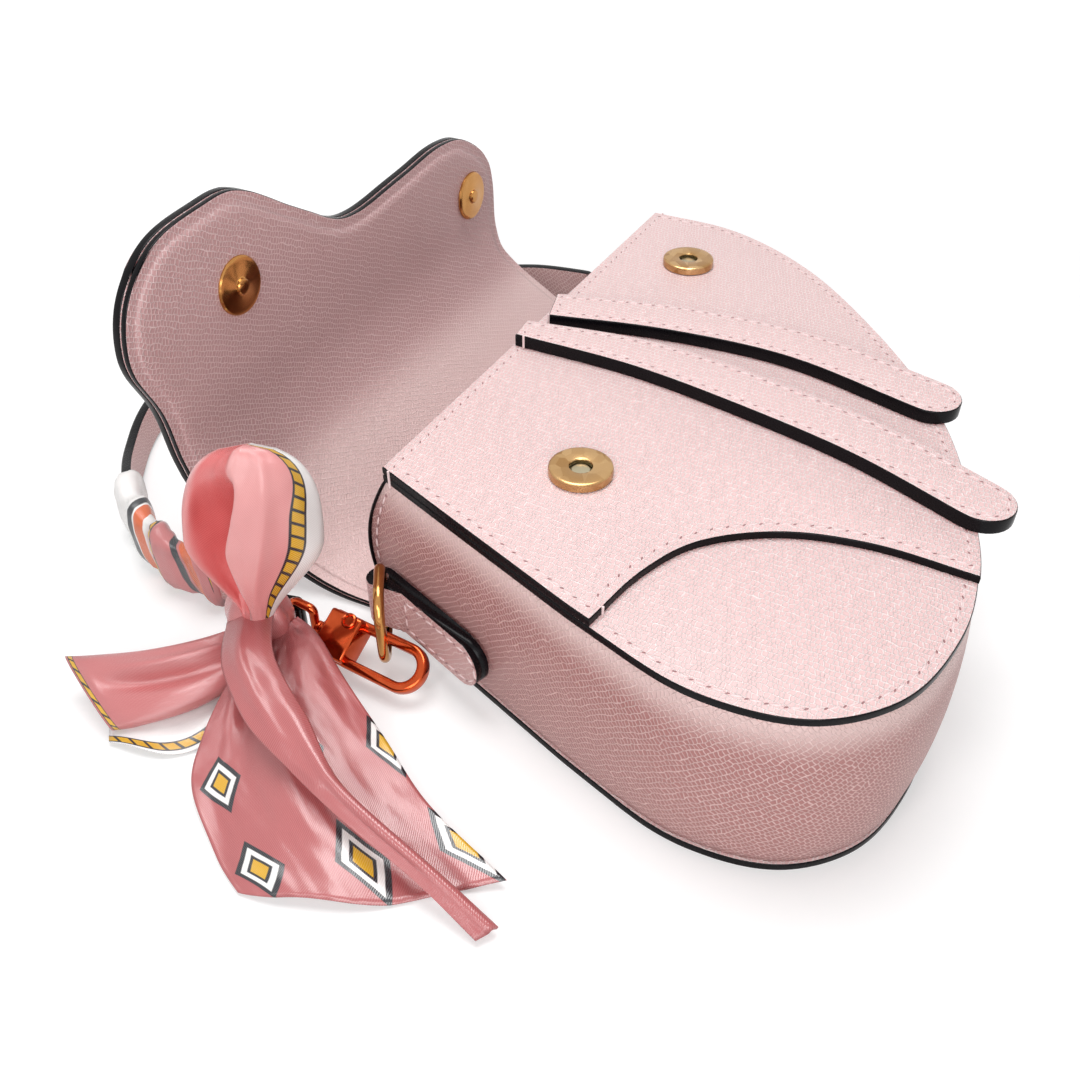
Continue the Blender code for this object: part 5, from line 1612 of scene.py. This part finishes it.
for side in SIDES:
    corner, out, down = wall_frame(side)
    heights = [WALL_LOW + (WALL_HIGH - WALL_LOW) * k / 24 for k in range(2, 23)]
    mouth_row = [on_wall(side, SEAM_INSET, z) + out * 0.1 * MM for z in heights]
    turns = [math.radians(90 - 180 * k / 12) for k in range(13)]
    tab_row = [(16, 5.4)] + [(41.5 + 5.4 * math.cos(t), 5.4 * math.sin(t)) for t in turns] + [(16, -5.4)]
    tab_row = [on_tab(side, d * MM, z * MM) for d, z in tab_row]
    cross_row = [on_tab(side, 16 * MM, z * MM) for z in (-5.4, 0, 5.4)]
    stitches(f"{side}_side_seams", [(mouth_row, out), (smooth_line(tab_row), out), (cross_row, out)])
    turns = [2 * math.pi * k / 10 for k in range(10)]
    heights = [WALL_LOW + (WALL_HIGH - WALL_LOW) * k / 40 for k in range(41)]
    bead = [[on_wall(side, 0.35 * MM, z) + (out * math.cos(t) + down * math.sin(t)) * MOUTH_BEAD for t in turns]
            for z in heights]
    piece(f"{side}_mouth_bead", lofted(bead, (4 * MM, 56 * MM)), (PAINT,), "purse", sharp=0)

bm = bmesh.new()
THREAD_RADIUS = 0.38 * MM
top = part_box("front_overlay")[1][2]
for side in SIDES:
    corner, out, down = wall_frame(side)
    foot = corner + down * SEAM_INSET + out * 0.15 * MM
    rod(bm, Vector((foot.x, foot.y, top - 5.6 * MM)), Vector((foot.x, foot.y, top + 0.1 * MM)), THREAD_RADIUS)
    billet = smooth_rim(rim(f"billet_strap_{side}", UP))
    root = min((p for p in billet if abs(p.y - MOUTH_TOP + 4.5 * MM) < 1.2 * MM), key=lambda p: p.x)
    rod(bm, Vector((root.x - 0.1 * MM, root.y, top + 0.2 * MM)), root + Vector((-0.1 * MM, 0, 0.1 * MM)), THREAD_RADIUS)
heel = min(overlay_rim, key=lambda p: p.x)
curve = [p for p in overlay_rim if inside(p, inset_line(FRONT_RIM, 1.5 * MM))]
foot = min(curve, key=lambda p: abs((p - heel).length - 1.5 * SEAM_INSET))
foot = foot + (foot - min(overlay_seam, key=lambda p: (p - foot).length)).normalized() * 0.15 * MM
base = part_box("front_overlay")[0][2]
rod(bm, Vector((foot.x, foot.y, base)), Vector((foot.x, foot.y, top + 0.1 * MM)), THREAD_RADIUS)
bmesh.ops.recalc_face_normals(bm, faces=bm.faces[:])
crossing = piece("crossing_threads", bm, (THREAD,), "purse")
print("crossing threads:", len(crossing.data.polygons), "faces")

# %% [markdown]
# ## Light and floor
# One large soft lamp above lights the bag, as in a studio tent, and a pale world fills the shadows. The floor
# keeps the shadow; a glow that only the camera and mirrors see lifts it to the white of the page.

# %% Stage
FLOOR_GLOW = (0.40, 0.40, 0.40, 1.0)
FAR_GLOW = (1.0, 1.0, 1.0, 1.0)
NO_GLOW = (0.0, 0.0, 0.0, 1.0)
SEEN_RAYS = ("Is Camera Ray", "Is Glossy Ray", "Is Transmission Ray")


def floor_finish():
    finish = Finish("white_floor", Roughness=0.9, Specular_IOR_Level=0.1, Emission_Strength=1.0)
    path = finish.tree.nodes.new("ShaderNodeLightPath")
    rays = [Sum(finish, path.outputs[name]) for name in SEEN_RAYS]
    seen = rays[0] + rays[1] + rays[2]
    place = finish.place()
    away = finish.make("ShaderNodeVectorMath", {"operation": "LENGTH"}, {0: place}, "Value").step(0.25, 0.75)
    glow = finish.mix(away, FLOOR_GLOW, FAR_GLOW)
    patch = finish.noise(place, 3.0, 1.0)
    colour = finish.mix(patch, linear("#D4D4D4"), linear("#D8D8D8"))
    return finish.link(Base_Color=colour, Emission_Color=finish.mix(seen, NO_GLOW, glow))


bm = bmesh.new()
bmesh.ops.create_grid(bm, x_segments=1, y_segments=1, size=4.0)
bmesh.ops.translate(bm, verts=bm.verts[:], vec=(0, 0, -0.2 * MM))
floor = piece("floor", bm, (floor_finish(),))


def lamp(name, place, target, size, power):
    data = bpy.data.lights.new(name, "AREA")
    data.shape = "DISK"
    data.size = size
    data.energy = power
    thing = bpy.data.objects.new(name, data)
    bpy.context.scene.collection.objects.link(thing)
    thing.location = place
    thing.rotation_euler = (Vector(target) - Vector(place)).to_track_quat("-Z", "Y").to_euler()


lamp("softbox", (0.08, 0.16, 0.95), (0.0, 0.05, 0.0), 0.6, 6.3)
lamp("side_fill", (-0.80, -0.40, 0.45), (0.0, 0.05, 0.03), 0.6, 4.0)
lamp("scarf_kick", (-0.45, 0.05, 0.32), (-0.11, 0.10, 0.04), 0.12, 0.30)

WORLD_LIGHT = 0.25
WORLD_SEEN = 1.0
world = bpy.data.worlds.new("studio")
bpy.context.scene.world = world
world.use_nodes = True
tree = world.node_tree
dim = tree.nodes["Background"]
dim.inputs["Color"].default_value = (1, 1, 1, 1)
dim.inputs["Strength"].default_value = WORLD_LIGHT
bright = tree.nodes.new("ShaderNodeBackground")
bright.inputs["Color"].default_value = (1, 1, 1, 1)
bright.inputs["Strength"].default_value = WORLD_SEEN
path = tree.nodes.new("ShaderNodeLightPath")
share = path.outputs[SEEN_RAYS[0]]
for name in SEEN_RAYS[1:]:
    either = tree.nodes.new("ShaderNodeMath")
    either.operation = "MAXIMUM"
    tree.links.new(share, either.inputs[0])
    tree.links.new(path.outputs[name], either.inputs[1])
    share = either.outputs[0]
mixed = tree.nodes.new("ShaderNodeMixShader")
tree.links.new(share, mixed.inputs[0])
tree.links.new(dim.outputs[0], mixed.inputs[1])
tree.links.new(bright.outputs[0], mixed.inputs[2])
tree.links.new(mixed.outputs[0], tree.nodes["World Output"].inputs["Surface"])
bpy.context.scene.view_settings.view_transform = "Standard"
print("stage lit")
